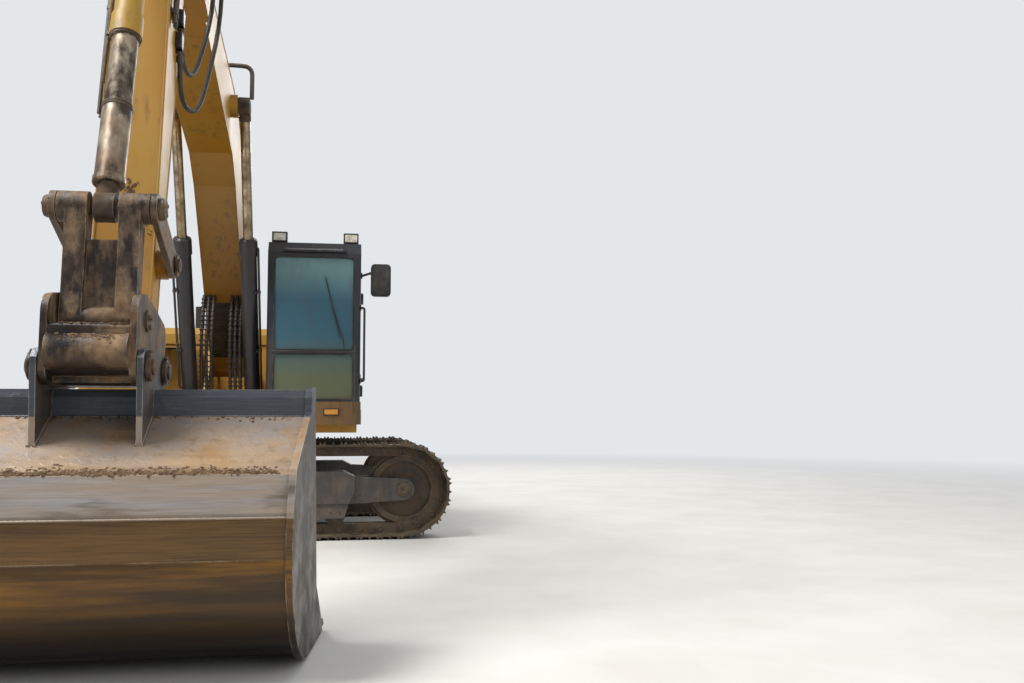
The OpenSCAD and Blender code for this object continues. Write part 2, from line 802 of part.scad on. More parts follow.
// Panes that fill a window cut with a small gap round them
module rear_pane(p, q, x) {
    front_cut(p + [seat, seat], q - [seat, seat], x, glass_t);
}
module side_pane(p, q, y) {
    side_cut(p + [seat, seat], q - [seat, seat], y, glass_t);
}
module cab_glass() {
    color("#7fa6b8", 0.45) {
        // the front panes follow the cab's outline
        intersection() {
            slab(cab_y0, cab_y1)
            difference() {
                polygon(cab_outline(glass_in));
                polygon(cab_outline(glass_in + glass_t));
            }
            for (w = front_windows)
                front_cut(w[0] + [seat, seat], w[1] - [seat, seat], cab_x1 - 260, 400);
        }
        side_pane(right_window[0], right_window[1], cab_y0 + glass_in);
        side_pane(left_window[0], left_window[1], cab_y1 - glass_in - glass_t);
        rear_pane(rear_window[0], rear_window[1], cab_x0 + glass_in);
    }
}
module cab_skirt() {
    front_top = cab_z0 + 165;
    side_top = cab_z0 + 80;
    color(paint)
    difference() {
        union() {
            translate([0, 0, skirt_z0]) linear_extrude(side_top - skirt_z0) intersection() {
                cab_plan(skirt_plate);
                union() {
                    translate([cab_x0 + 120, cab_y1 - 60]) square([cab_x1, 100]);
                    translate([cab_x1 - 60, cab_y0 + 40]) square([100, cab_w]);
                }
            }
            translate([0, 0, side_top - 1]) linear_extrude(front_top - side_top + 1) intersection() {
                cab_plan(skirt_plate);
                translate([cab_x1 - 60, cab_y0 + 40]) square([100, cab_w + 40]);
            }
        }
        translate([0, 0, skirt_z0 - 1]) linear_extrude(front_top) cab_plan(seat);
    }
}
door_win_x0 = door_x0 + 80;
door_win_x1 = door_x1 - 80;
door_win_z0 = cab_z0 + 560;
door_win_z1 = head_z - 80;
module cab_door() {
    // hinge straps
    color(steel_dark)
    for (z = hinge_z)
        translate([hinge[0], hinge[1], z + seat])
        difference() {
            union() {
                cylinder(r = hinge_r, h = 64);
                translate([0, -13, 0]) cube([60, 26, 64]);
                translate([38, -30, 0]) cube([40, 43, 64]);
            }
            translate([0, 0, -1]) cylinder(r = hinge_pin_r + pin_fit, h = 70);
        }
    color(steel_dark)
    difference() {
        intersection() {
            door_opening(0);
            slab(cab_y1 - cab_wall, cab_y1) polygon(cab_outline(0));
        }
        side_cut([door_win_x0, door_win_z0], [door_win_x1, door_win_z1], cab_y1 - cab_wall - 1, cab_wall + 2);
    }
}
module door_glass() {
    color("#7fa6b8", 0.45)
    side_pane([door_win_x0, door_win_z0], [door_win_x1, door_win_z1], cab_y1 - glass_in - glass_t);
}
floor_z = cab_z0 + cab_wall;
seat_y = cab_y0 + cab_w / 2;
module seat() {
    color("#2b2b2d") {
        translate([330, seat_y - 150, floor_z]) cube([380, 300, 330]);
        translate([270, seat_y - 250, floor_z + 330]) cube([500, 500, 120]);
        translate([200, seat_y - 240, floor_z + 400]) rotate([0, -8, 0]) cube([110, 480, 620]);
    }
}
module consoles() {
    color("#2b2b2d")
    for (y = [seat_y - 390, seat_y + 270])
        translate([300, y, floor_z]) {
            cube([560, 120, 560]);
            translate([480, 60, 559]) cylinder(r = 14, h = 130);
            translate([480, 60, 680]) cylinder(r = 28, h = 90);
        }
}
// Round bar between two points in space
module bar(p, q, r) {
    d = q - p;
    translate(p) rotate([0, acos(d[2] / norm(d)), atan2(d[1], d[0])]) cylinder(r = r, h = norm(d), $fn = 24);
}
module rear_mirror() {
    arm_r = 13;
    arm_z = 2880;
    foot = [cab_x1 - 130, cab_y1 + 14, arm_z];
    bend_at = [cab_x1 + 76, cab_y1 + 90, arm_z];
    color("#1d1f22") {
        front_cut([cab_y1 + 100, 2630], [cab_y1 + 315, 2980], cab_x1 + 50, 55);
        front_cut([cab_y1 + 118, 2650], [cab_y1 + 297, 2960], cab_x1 + 104, 22);
        bar(foot, bend_at, arm_r);
        bar(bend_at, bend_at + [0, 40, 0], arm_r);
        translate(bend_at) sphere(arm_r + 3, $fn = 24);
        translate(foot + [-26, -14, -30]) cube([44, 14, 60]);
    }
}
lamp_w = 165;
lamp_h = 112;
module cab_lamps() {
    color("#1d1f22")
    for (y = [cab_y0 + 30, cab_y1 - 30 - lamp_w]) {
        translate([cab_x1 - 330, y, cab_z1 + 12]) cube([105, lamp_w, lamp_h]);
        translate([cab_x1 - 300, y + lamp_w / 2 - 30, cab_z1]) cube([40, 60, 13]);
    }
}

// Boom

boom_top_bend = [2600, 1470];
module boom_outline() {
    // underside from the foot to the tip, then the top back to the foot
    polygon([[20, -164], [2500, 640], [2950, 690], [boom_len - 30, -148], [boom_len + 30, 148],
        [3200, 1330], boom_top_bend, [2050, 1350], [-50, 158]]);
    circle(170);
    translate([boom_len, 0]) circle(150);
}
module boom() {
    fork_x = boom_len - fork_l;
    eye_in = boom_cyl_y - cyl_eye_hw - play;
    color(paint)
    in_boom()
    difference() {
        union() {
            slab(-boom_hw, boom_hw) boom_outline();
            // lugs of the fork at the tip
            both_sides()
            slab(stick_hw + play, stick_hw + play + fork_t)
            intersection() {
                boom_outline();
                translate([fork_x - 350, -400]) square([fork_l + 700, 1400]);
            }
            // cross tube that takes the boom cylinders' rod eyes
            at(boom_cyl_eye_local) round_bar(112, -eye_in, eye_in);
            // lugs of the stick cylinder
            both_sides()
            slab(cyl_eye_hw + play, cyl_eye_hw + play + lug_t)
            union() {
                translate(stick_cyl_foot_local) circle(92);
                polygon([[2980, 1300], stick_cyl_foot_local + [-76, 52], stick_cyl_foot_local + [92, 0],
                    stick_cyl_foot_local + [96, -200]]);
            }
        }
        // space in the fork for the stick
        translate([fork_x, -stick_hw - play, -600]) cube([fork_l + 400, 2 * (stick_hw + play), 1800]);
        // foot bore, tip bore, stick cylinder bore
        round_bar(foot_pin_r + pin_fit, -400, 400);
        at([boom_len, 0]) round_bar(foot_pin_r + pin_fit, -400, 400);
        at(stick_cyl_foot_local) round_bar(stick_cyl_pin_r + pin_fit, -400, 400);
    }
}
module boom_pins() {
    lug_out = stick_hw + play + fork_t;
    color(steel_dark)
    in_boom() {
        at([boom_len, 0]) {
            round_bar(foot_pin_r, -lug_out - 20, lug_out + 20);
            both_sides() round_bar(foot_pin_r + 30, lug_out + seat, lug_out + 22);
        }
        at(stick_cyl_foot_local) round_bar(stick_cyl_pin_r, -cyl_eye_hw - play - lug_t - 14, cyl_eye_hw + play + lug_t + 14);
    }
}
pipe_r = 17;
module boom_pipes() {
    color(steel_dark)
    in_boom()
    for (y = [-120, -70, 70, 120])
        translate([0, y, 0])
        at([700, 158 + (1350 - 158) / 2100 * 750 + pipe_r + 3])
        rotate([0, 90 - 29.6, 0]) cylinder(r = pipe_r, h = 1400, $fn = 24);
}

// Cylinders. Each barrel and rod is drawn along +X from the barrel's foot pin.

barrel_neck = 140;
module barrel(r, rod, l, pin, eye_r) {
    difference() {
        union() {
            round_bar(eye_r, -cyl_eye_hw, cyl_eye_hw);
            rotate([0, 90, 0]) {
                translate([0, 0, eye_r * 0.6]) cylinder(r = cyl_eye_hw, h = barrel_neck);
                translate([0, 0, barrel_neck]) cylinder(r = r, h = l - barrel_neck - 1);
                translate([0, 0, l - 150]) cylinder(r = r + 11, h = 150);
            }
        }
        round_bar(pin + pin_fit, -200, 200);
        rotate([0, 90, 0]) translate([0, 0, barrel_neck + 15]) cylinder(r = rod + pin_fit * 2, h = l);
    }
}
// Rod from x0 inside the barrel to its eye at x1, with a short pin of its own in the eye
module rod(r, x0, x1, eye_r, pin) {
    round_bar(eye_r, -cyl_eye_hw, cyl_eye_hw);
    rotate([0, 90, 0]) {
        translate([0, 0, x0 - x1]) cylinder(r = r, h = x1 - x0 - eye_r * 0.5);
        translate([0, 0, -eye_r - 50]) cylinder(r = r + 8, h = 50 + eye_r * 0.4);
    }
    round_bar(pin, -cyl_eye_hw - 3, cyl_eye_hw + 3);
}
boom_cyl_len = norm(boom_cyl_eye - boom_cyl_foot);
stick_cyl_len = norm(stick_tail - stick_cyl_foot);
bucket_cyl_len = norm(knuckle - bucket_cyl_foot);
// Places of the rods' inner ends at rest: each clears the barrel's end wall when its rod is fully in
boom_rod_x0 = 1270;
stick_rod_x0 = 1230;
bucket_rod_x0 = 640;

module boom_cylinder_barrels() {
    color("#26282b")
    for (s = [-1, 1])
        translate([0, s * boom_cyl_y, 0])
        frame_at(boom_cyl_foot, heading(boom_cyl_foot, boom_cyl_eye))
        barrel(boom_cyl_r, boom_rod_r, boom_cyl_l, boom_cyl_pin_r, 92);
}
module boom_cylinder_rods() {
    color(chrome)
    for (s = [-1, 1])
        translate([0, s * boom_cyl_y, 0])
        frame_at(boom_cyl_eye, heading(boom_cyl_foot, boom_cyl_eye))
        rod(boom_rod_r, boom_rod_x0, boom_cyl_len, 92, boom_cyl_pin_r);
}
module stick_cylinder_barrel() {
    color(paint)
    frame_at(stick_cyl_foot, heading(stick_cyl_foot, stick_tail))
    barrel(stick_cyl_r, stick_rod_r, stick_cyl_l, stick_cyl_pin_r, 80);
}
module stick_cylinder_rod() {
    color(chrome)
    frame_at(stick_tail, heading(stick_cyl_foot, stick_tail))
    rod(stick_rod_r, stick_rod_x0, stick_cyl_len, 92, stick_cyl_pin_r);
}
module bucket_cylinder_barrel() {
    color(paint)
    frame_at(bucket_cyl_foot, heading(bucket_cyl_foot, knuckle))
    barrel(bucket_cyl_r, bucket_rod_r, bucket_cyl_l, bucket_cyl_pin_r, 84);
}
module bucket_cylinder_rod() {
    color(chrome)
    frame_at(knuckle, heading(bucket_cyl_foot, knuckle))
    rod(bucket_rod_r, bucket_rod_x0, bucket_cyl_len, 84, bucket_cyl_pin_r);
}

// Stick

module stick_outline() {
    polygon([[stick_len - 20, 118], [stick_len - idler_back - 100, 128], [330, 300], [60, 330],
        [-120, 330], tail_local + [60, 96], tail_local + [-40, -104], [-300, -80], [-80, -160], [300, -245],
        [700, -240], [stick_len - idler_back, -112], [stick_len - 20, -118]]);
    circle(180);
    translate([stick_len, 0]) circle(120);
    translate(tail_local) circle(108);
}
module stick() {
    idler_at = [stick_len - idler_back, 0];
    color(paint)
    in_stick()
    difference() {
        union() {
            slab(-stick_hw, stick_hw) stick_outline();
            at(tail_local) round_bar(84, -stick_hw - 16, stick_hw + 16);
            at([stick_len, 0]) round_bar(112, -tip_hw, tip_hw);
            at(idler_at) round_bar(90, -knuckle_hw, knuckle_hw);
            // lugs of the bucket cylinder
            both_sides()
            slab(cyl_eye_hw + play, cyl_eye_hw + play + lug_t)
            union() {
                translate(bucket_cyl_foot_local) circle(86);
                polygon([[-330, 300], bucket_cyl_foot_local + [-76, 40], bucket_cyl_foot_local + [86, 0],
                    bucket_cyl_foot_local + [96, -130]]);
            }
        }
        // slot of the tail's clevis
        translate([tail_local[0], 0, tail_local[1]])
        rotate([0, -tail_angle, 0])
        translate([-270, -cyl_eye_hw - play - 4, -400]) cube([600, 2 * (cyl_eye_hw + play + 4), 800]);
        round_bar(foot_pin_r + pin_fit, -400, 400);
        at([stick_len, 0]) round_bar(bucket_pin_r + pin_fit, -400, 400);
        at(idler_at) round_bar(link_pin_r + pin_fit, -400, 400);
        at(bucket_cyl_foot_local) round_bar(bucket_cyl_pin_r + pin_fit, -400, 400);
    }
}
module stick_pins() {
    color(steel_dark)
    in_stick() {
        at([stick_len - idler_back, 0]) {
            round_bar(link_pin_r, -idler_y1 - 16, idler_y1 + 16);
            both_sides() round_bar(link_pin_r + 22, idler_y1 + play, idler_y1 + 18);
        }
        at(bucket_cyl_foot_local)
        round_bar(bucket_cyl_pin_r, -cyl_eye_hw - play - lug_t - 12, cyl_eye_hw + play + lug_t + 12);
    }
}

// Bucket linkage

idler_y0 = coupler_gap + coupler_t + play + 2;
idler_y1 = idler_y0 + 36;
hlink_hw = tip_hw;
knuckle_hw = idler_y0 - play;
rod_bay = cyl_eye_hw + 30;

module idler_links() {
    color(worn) {
        both_sides()
        slab(idler_y0, idler_y1)
        difference() {
            strap(idler_pin, 82, knuckle, 88);
            translate(idler_pin) circle(link_pin_r + pin_fit);
        }
        // stub pins of the knuckle
        both_sides() at(knuckle) {
            round_bar(link_pin_r, rod_bay - 8, idler_y1 + 18);
            round_bar(link_pin_r + 20, idler_y1 + 4, idler_y1 + 24);
        }
    }
}
module h_link() {
    a = heading(knuckle, link_pin);
    color(worn)
    frame_at(knuckle, a)
    difference() {
        union() {
            // two arms
            both_sides() round_bar(88, rod_bay, knuckle_hw);
            both_sides()
            slab(rod_bay, hlink_hw)
            union() {
                circle(88);
                polygon([[0, 86], [200, 66], [hlink_len - 150, 62], [hlink_len, 74],
                    [hlink_len, -74], [hlink_len - 150, -62], [200, -66], [0, -86]]);
            }
            // recessed web between the arms
            slab(-rod_bay - 1, rod_bay + 1)
            polygon([[190, 22], [hlink_len - 60, 22], [hlink_len - 60, -40], [190, -40]]);
            // lower cross tube
            at([hlink_len, 0]) round_bar(74, -hlink_hw, hlink_hw);
        }
        at([0, 0]) round_bar(link_pin_r + pin_fit, -400, 400);
    }
}
// Front upper corner of the coupler's side plates
coupler_horn = link_pin + [130, 12];
// Face of the coupler's front cross plate: the link's lower tube stays behind it over the whole range
cross_x = link_pin[0] + 212;
module coupler_outline() {
    hull() {
        translate(stick_tip) circle(112);
        translate(link_pin) circle(150);
        translate(coupler_horn) circle(118);
        translate(bucket_pin_front) circle(98);
        translate(bucket_pin_rear) circle(96);
    }
}
module quick_coupler() {
    cross_t = 32;
    cross_top = link_pin[1] - 56;
    color(worn)
    difference() {
        union() {
            both_sides() slab(coupler_gap, coupler_gap + coupler_t) coupler_outline();
            // front cross plate with a round upper edge, curled in below
            slab(-coupler_gap - 1, coupler_gap + 1) {
                translate([cross_x, bucket_pin_front[1] + 40]) square([cross_t, cross_top - bucket_pin_front[1] - 40]);
                translate([cross_x + cross_t / 2 - 4, cross_top]) circle(cross_t / 2 + 6);
                translate([cross_x - 60, bucket_pin_front[1] + 41])
                intersection() {
                    difference() {
                        circle(60 + cross_t);
                        circle(60);
                    }
                    translate([0, -100]) square([100, 100]);
                }
            }
            // floor between the bucket pins
            slab(-coupler_gap - 1, coupler_gap + 1)
            polygon([bucket_pin_rear + [60, -60], bucket_pin_front + [-60, -50],
                bucket_pin_front + [-60, -84], bucket_pin_rear + [60, -92]]);
        }
        for (p = [stick_tip, bucket_pin_front, bucket_pin_rear])
            at(p) round_bar(bucket_pin_r + pin_fit, -400, 400);
    }
}
module coupler_pins() {
    plate_out = coupler_gap + coupler_t;
    ear_out = ear_gap + ear_t;
    color(steel_dark) {
        at(stick_tip) round_bar(bucket_pin_r, -plate_out, plate_out);
        for (p = [bucket_pin_front, bucket_pin_rear])
            at(p) round_bar(bucket_pin_r, -ear_out - 30, ear_out + 30);
        both_sides() at(link_pin) round_bar(62, plate_out + seat, plate_out + 16);
    }
}

// Bucket, in a frame at the stick's tip pin with level axes

bucket_back = 1140;
beam_x = 340;
lip_x = -165;
bucket_low = 1755;
bend = [1040, -745];
heel_r = 630;
function bucket_outer(d) = [
    [beam_x, -365 - d * 1.1], bend + [-d * 0.5, -d], [bucket_back - 20 - d, -935], [bucket_back - d, -1125]];
// Side profile of the shell, its outer face moved in by d
module bucket_profile(d) {
    heel = [bucket_back - heel_r, -bucket_low + heel_r];
    union() {
        polygon(concat(bucket_outer(d), [heel, [beam_x + 60, -1000], [beam_x - 30, -500]]));
        intersection() {
            translate(heel) circle(heel_r - d, $fn = 96);
            translate([heel[0] - 1, -bucket_low - 60]) square([heel_r + 60, heel_r + 61]);
        }
        polygon([[heel[0] + 1, -bucket_low + d], heel + [1, 0], [beam_x - 31, -500], [lip_x + 330, -bucket_low + 300],
            [lip_x, -bucket_low + d]]);
    }
}
// Outline of the box beam along the top edge, and of the side plates' ends over it
module beam_outline(d) {
    polygon([[beam_x - 6 - d, -450], [beam_x - 6 - d, -312 + d], [beam_x + 20, -300 + d], [beam_x + 130, -300 + d],
        [beam_x + 146 + d, -345], [beam_x + 150 + d, -450]]);
}
bucket_half = bucket_w / 2;
bucket_depth = bucket_back - lip_x;
// Space outside a plane that lies w inside the bucket's flared side
module beyond_side(w) {
    past = 200;
    both_sides()
    translate([0, 0, -2 * bucket_low])
    linear_extrude(3 * bucket_low)
    polygon([[bucket_back + past, bucket_half - w - past * bucket_flare], [bucket_back + past, bucket_half + 400],
        [lip_x - past, bucket_half + 400],
        [lip_x - past, bucket_half - w + (bucket_depth + past) * bucket_flare]]);
}
module across() {
    reach = bucket_half + 250;
    slab(-reach, reach) children();
}
module bucket() {
    color("#7b6a4e")
    at(stick_tip)
    difference() {
        union() {
            difference() {
                union() {
                    // shell with its wear strip
                    difference() {
                        across() union() {
                            bucket_profile(0);
                            intersection() {
                                bucket_profile(-strip_t);
                                translate([0, -1165]) square([bucket_back + 100, 205]);
                            }
                        }
                        beyond_side(0);
                        difference() {
                            across() difference() {
                                bucket_profile(bucket_shell);
                                translate([beam_x - 400, -530]) square([590, 400]);
                            }
                            beyond_side(bucket_side);
                        }
                    }
                    // side plates, whose edges stand above the shell
                    intersection() {
                        difference() {
                            across() union() {
                                bucket_profile(-bucket_rim);
                                beam_outline(14);
                            }
                            beyond_side(0);
                        }
                        beyond_side(bucket_side);
                    }
                }
                // mouth
                across()
                polygon([[lip_x - 10, -bucket_low + bucket_shell], [lip_x + 332, -bucket_low + 300],
                    [beam_x - 30, -500], [beam_x - 300, -500]]);
            }
            // cutting edge and box beam
            difference() {
                across() {
                    polygon([[lip_x - 60, -bucket_low], [lip_x + 200, -bucket_low],
                        [lip_x + 200, -bucket_low + 44], [lip_x - 10, -bucket_low + 44]]);
                    beam_outline(0);
                }
                beyond_side(0);
            }
            // ears
            both_sides()
            slab(ear_gap, ear_gap + ear_t)
            polygon([[110, -130], [130, -112], [210, -95], [640, -82], [760, -95], [802, -140], [808, -230],
                [780, -620], [360, -400], [120, -290]]);
        }
        for (p = [bucket_pin_front - stick_tip, bucket_pin_rear - stick_tip])
            at(p) round_bar(bucket_pin_r + pin_fit, -400, 400);
    }
}

car_body();
swing_ring();
track_frames();
track_left();
track_right();
idler_wheels();
sprockets();
final_drives();
lower_rollers();
carrier_rollers();
deck();
counterweight();
engine_block();
engine_housing();
engine_hood();
side_locker();
tanks();
step_box();
centre_cover();
handrails();
exhaust();
cab_shell();
cab_glass();
cab_skirt();
seat();
consoles();
rear_mirror();
cab_lamps();
upper_pins();
cab_door();
door_glass();
boom();
boom_pins();
boom_pipes();
boom_cylinder_barrels();
boom_cylinder_rods();
stick();
stick_pins();
stick_cylinder_barrel();
stick_cylinder_rod();
bucket_cylinder_barrel();
bucket_cylinder_rod();
idler_links();
h_link();
quick_coupler();
coupler_pins();
bucket();
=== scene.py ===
"""Dressing of a crawler excavator: finishes of every surface, and the hoses, clamps, bolts, seals, lamps and
seat that its solids leave out. Lengths are metres unless a name ends in _mm. +X is forward, +Y the left."""

import json
import math
import random

import bmesh
import bpy
from bpy.props import FloatProperty, FloatVectorProperty, IntProperty, PointerProperty
from mathutils import Matrix, Vector


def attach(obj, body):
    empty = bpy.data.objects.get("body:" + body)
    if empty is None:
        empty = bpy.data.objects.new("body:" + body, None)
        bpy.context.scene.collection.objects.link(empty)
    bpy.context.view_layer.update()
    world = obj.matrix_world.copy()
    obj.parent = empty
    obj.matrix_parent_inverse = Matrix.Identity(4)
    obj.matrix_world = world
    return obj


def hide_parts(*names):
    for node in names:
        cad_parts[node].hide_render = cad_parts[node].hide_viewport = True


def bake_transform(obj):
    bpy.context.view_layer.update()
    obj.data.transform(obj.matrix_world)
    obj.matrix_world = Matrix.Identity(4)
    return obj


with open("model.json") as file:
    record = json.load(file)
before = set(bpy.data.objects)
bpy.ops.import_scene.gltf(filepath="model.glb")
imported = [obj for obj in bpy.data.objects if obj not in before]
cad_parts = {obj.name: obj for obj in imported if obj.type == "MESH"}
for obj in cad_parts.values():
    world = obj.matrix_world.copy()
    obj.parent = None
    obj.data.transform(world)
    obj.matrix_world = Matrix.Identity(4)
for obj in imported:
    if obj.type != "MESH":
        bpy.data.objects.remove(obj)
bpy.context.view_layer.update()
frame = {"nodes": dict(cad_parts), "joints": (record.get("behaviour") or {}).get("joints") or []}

bl_info = {
    "name": "Crawler Excavator Dressing",
    "version": (1, 0, 0),
    "blender": (4, 5, 0),
    "location": "View3D > Sidebar > Excavator",
    "description": "Finishes and small pieces of a tracked excavator",
    "category": "Object",
}

SIDES = (-1, 1)
TAGGED_SIDES = ((-1, "right"), (1, "left"))
UP = Vector((0, 0, 1))
JOINTS = {joint["name"]: joint for joint in frame["joints"]}


def pin(joint):
    """Place of a joint's pin in the side plane."""
    x, _, z = JOINTS[joint]["pos_m"]
    return Vector((x, 0, z))


def side_frame(point, ahead):
    """Frame in the side plane at a point, its first axis along ahead."""
    return Matrix.Translation(point) @ Matrix.Rotation(-math.atan2(ahead[2], ahead[0]), 4, "Y")


def cylinder_frame(foot, slide):
    """Frame at a cylinder's foot pin, its first axis along the rod."""
    return side_frame(foot, JOINTS[slide]["axis"])


def climb(degrees):
    """Direction in the side plane that climbs by an angle."""
    angle = math.radians(degrees)
    return Vector((math.cos(angle), 0, math.sin(angle)))


FOOT = pin("boom_lift")
BOOM_TIP = pin("stick_swing")
STICK_TIP = pin("bucket_curl")
IDLER_PIN = pin("idlers_turn")
KNUCKLE = pin("h_link_turn")
BOOM = side_frame(FOOT, BOOM_TIP - FOOT)
STICK = side_frame(BOOM_TIP, STICK_TIP - BOOM_TIP)
BUCKET = Matrix.Translation(STICK_TIP)
BOOM_BARREL = cylinder_frame(pin("boom_barrels_tilt"), "boom_rods_slide")
STICK_BARREL = cylinder_frame(pin("stick_barrel_tilt"), "stick_rod_slide")
BUCKET_BARREL = cylinder_frame(pin("bucket_barrel_tilt"), "bucket_rod_slide")
BOOM_ROD_EYE = BOOM @ Vector((3.28, 0, 1.02))
STICK_ROD_EYE = STICK @ (0.85 * climb(150))
LINK_PIN = STICK_TIP + 0.544 * climb(8)


def at(frame_, x, y, z):
    """Point of a frame in the machine's coordinates."""
    return frame_ @ Vector((x, y, z))


# Colour and node helpers


def srgb(code):
    """Linear colour of an sRGB hex code."""
    parts = [int(code[i : i + 2], 16) / 255 for i in (1, 3, 5)]
    return (*[p / 12.92 if p <= 0.04045 else ((p + 0.055) / 1.055) ** 2.4 for p in parts], 1.0)


def feed(tree, target, inputs):
    """Links or sets the inputs of a node."""
    for name, value in inputs.items():
        if isinstance(value, bpy.types.NodeSocket):
            tree.links.new(value, target.inputs[name])
        else:
            target.inputs[name].default_value = value


def node(tree, kind, inputs=None, out=0, **settings):
    """Adds a node, sets it up, feeds it and returns one of its outputs."""
    made = tree.nodes.new(kind)
    for name, value in settings.items():
        setattr(made, name, value)
    feed(tree, made, inputs or {})
    return made.outputs[out]


def per_mm(size_mm):
    """Pattern scale whose features are about this many millimetres across."""
    return 1000 / size_mm


def place_of(tree, stretch=(1, 1, 1)):
    """Object coordinates, squeezed along each axis by stretch."""
    where = node(tree, "ShaderNodeTexCoord", out="Object")
    if stretch == (1, 1, 1):
        return where
    return node(tree, "ShaderNodeMapping", {"Vector": where, "Scale": stretch})


def spread(value, low, high, **settings):
    """Value stretched so that low gives 0 and high gives 1."""
    ends = {"Value": value, "From Min": low, "From Max": high}
    return node(value.id_data, "ShaderNodeMapRange", ends, **settings)


def between(mask, at_zero, at_one):
    """Value that goes from one number to another with a mask."""
    return node(mask.id_data, "ShaderNodeMapRange", {"Value": mask, "To Min": at_zero, "To Max": at_one})


def times(mask, other, operation="MULTIPLY"):
    """Two masks joined by a math operation, kept from 0 to 1."""
    return node(mask.id_data, "ShaderNodeMath", {0: mask, 1: other}, operation=operation, use_clamp=True)


def over(below, above, mask):
    """Colour above laid over colour below where the mask is 1; each is a hex code or an output."""
    below, above = (srgb(colour) if isinstance(colour, str) else colour for colour in (below, above))
    return node(mask.id_data, "ShaderNodeMix", {0: mask, 6: below, 7: above}, 2, data_type="RGBA")


def patches(tree, size_mm, low, high, detail=5.0, stretch=(1, 1, 1), rough=0.6):
    """Noise turned into a mask that is 0 below low and 1 above high."""
    where = place_of(tree, stretch)
    grain = {"Vector": where, "Scale": per_mm(size_mm), "Detail": detail, "Roughness": rough}
    return spread(node(tree, "ShaderNodeTexNoise", grain, "Fac"), low, high)


def stain(colour, code, share, *pattern, **more):
    """Colour with patches of another laid over it, each covering only its share."""
    return over(colour, code, times(patches(colour.id_data, *pattern, **more), share))


def component(vector, axis):
    """One component of a vector."""
    return node(vector.id_data, "ShaderNodeSeparateXYZ", {0: vector}, axis)


def facing_up(tree, low, high):
    """Mask of surfaces that look up, where dust settles."""
    return spread(component(node(tree, "ShaderNodeNewGeometry", out="Normal"), "Z"), low, high)


def facing_sideways(tree, low, high):
    """Mask of surfaces that look to either side."""
    across = component(node(tree, "ShaderNodeNewGeometry", out="Normal"), "Y")
    return spread(node(tree, "ShaderNodeMath", {0: across}, operation="ABSOLUTE"), low, high)


def low_down(tree, clean_height, dirty_height):
    """Mask that grows from 0 at one height to 1 at the other."""
    return spread(component(place_of(tree), "Z"), clean_height, dirty_height)


def worn_edges(tree, radius_mm, patch_mm):
    """Mask of outer and inner corners, broken up into patches."""
    rounded = node(tree, "ShaderNodeBevel", {"Radius": radius_mm / 1000}, samples=4)
    flat = node(tree, "ShaderNodeNewGeometry", out="Normal")
    dot = node(tree, "ShaderNodeVectorMath", {0: rounded, 1: flat}, "Value", operation="DOT_PRODUCT")
    return times(spread(dot, 0.985, 0.86), patches(tree, patch_mm, 0.4, 0.56))


def surface(name):
    """New material and its node tree."""
    made = bpy.data.materials.new(name)
    made.use_nodes = True
    return made, made.node_tree


def finished(made, colour, roughness, relief=None, relief_mm=1.0, uniform=None):
    """The material with its colour, its roughness, a relief of some millimetres and what is uniform."""
    tree = made.node_tree
    values = {"Base Color": colour, "Roughness": roughness, **(uniform or {})}
    if relief is not None:
        bump = {"Height": relief, "Strength": 0.5, "Distance": relief_mm / 1000}
        values["Normal"] = node(tree, "ShaderNodeBump", bump)
    feed(tree, tree.nodes["Principled BSDF"], values)
    return made


# Finishes


def enamel(name, coat, faded, dust, steel, gloss, dusty, soil="#3d2e20", chips=0.6, painted_shade=0.0):
    """Sprayed alkyd enamel on steel plate: even colour that chalks in patches, dust on what faces up and low
    down, painted shade in dark brown under what overhangs, splashed soil, and paint rubbed off along edges."""
    made, tree = surface(name)
    colour = over(coat, faded, patches(tree, 700, 0.38, 0.66))
    settled = times(facing_up(tree, 0.1, 0.95), patches(tree, 260, 0.3, 0.7))
    rising = times(low_down(tree, 2.4, 0.5), patches(tree, 180, 0.25, 0.75))
    film = times(patches(tree, 900, 0.3, 0.7, detail=9.0), 0.75)
    film = times(film, facing_up(tree, -0.5, 0.2))
    dusted = times(times(times(settled, rising, "MAXIMUM"), film, "MAXIMUM"), dusty)
    colour = over(colour, dust, dusted)
    # painted shade: dark brown laid on faces that look down, as strong as each enamel asks
    colour = over(colour, "#5d3a0c", times(facing_up(tree, -0.25, -0.7), painted_shade))
    runs = patches(tree, 60, 0.52, 0.66, detail=7.0, stretch=(1, 1, 0.14))
    runs = times(runs, patches(tree, 600, 0.44, 0.56))
    colour = over(colour, soil, times(runs, 0.65))
    edge = times(worn_edges(tree, 7, 60), chips)
    spots = times(patches(tree, 45, 0.7, 0.73, detail=3.0), patches(tree, 600, 0.52, 0.6))
    rubbed = times(edge, times(spots, chips), "MAXIMUM")
    colour = over(colour, steel, rubbed)
    rough = between(times(dusted, rubbed, "MAXIMUM"), gloss, 0.85)
    return finished(made, colour, rough, patches(tree, 9, 0.3, 0.7), 0.25)


def cast_steel(name, steel, mud, wet):
    """Cast and flame-cut steel of the linkage: no paint left, pale dried mud smeared over it and caked in its
    hollows, dark where oil creeps out of the joints and rubbed bare along its edges."""
    made, tree = surface(name)
    colour = over(steel, "#1f1814", patches(tree, 160, 0.42, 0.6, detail=7.0))
    smear = patches(tree, 230, 0.42, 0.58, detail=9.0, stretch=(1, 1, 0.5), rough=0.66)
    smear = times(smear, times(facing_up(tree, -0.9, 0.6), 0.3, "ADD"))
    lumps = patches(tree, 42, 0.35, 0.65, detail=3.0)
    colour = over(colour, over(mud, wet, times(lumps, 0.6)), times(smear, 0.8))
    colour = stain(colour, "#6b3f1d", 0.5, 50, 0.58, 0.7, detail=6.0, stretch=(1, 1, 0.15))
    colour = over(colour, "#a5927a", times(worn_edges(tree, 8, 90), 0.8))
    rough = between(smear, 0.42, 0.95)
    pits = times(patches(tree, 11, 0.3, 0.7), 0.4)
    relief = times(times(smear, times(lumps, 0.5, "ADD")), pits, "ADD")
    return finished(made, colour, rough, relief, 4.0, {"Metallic": 0.25})


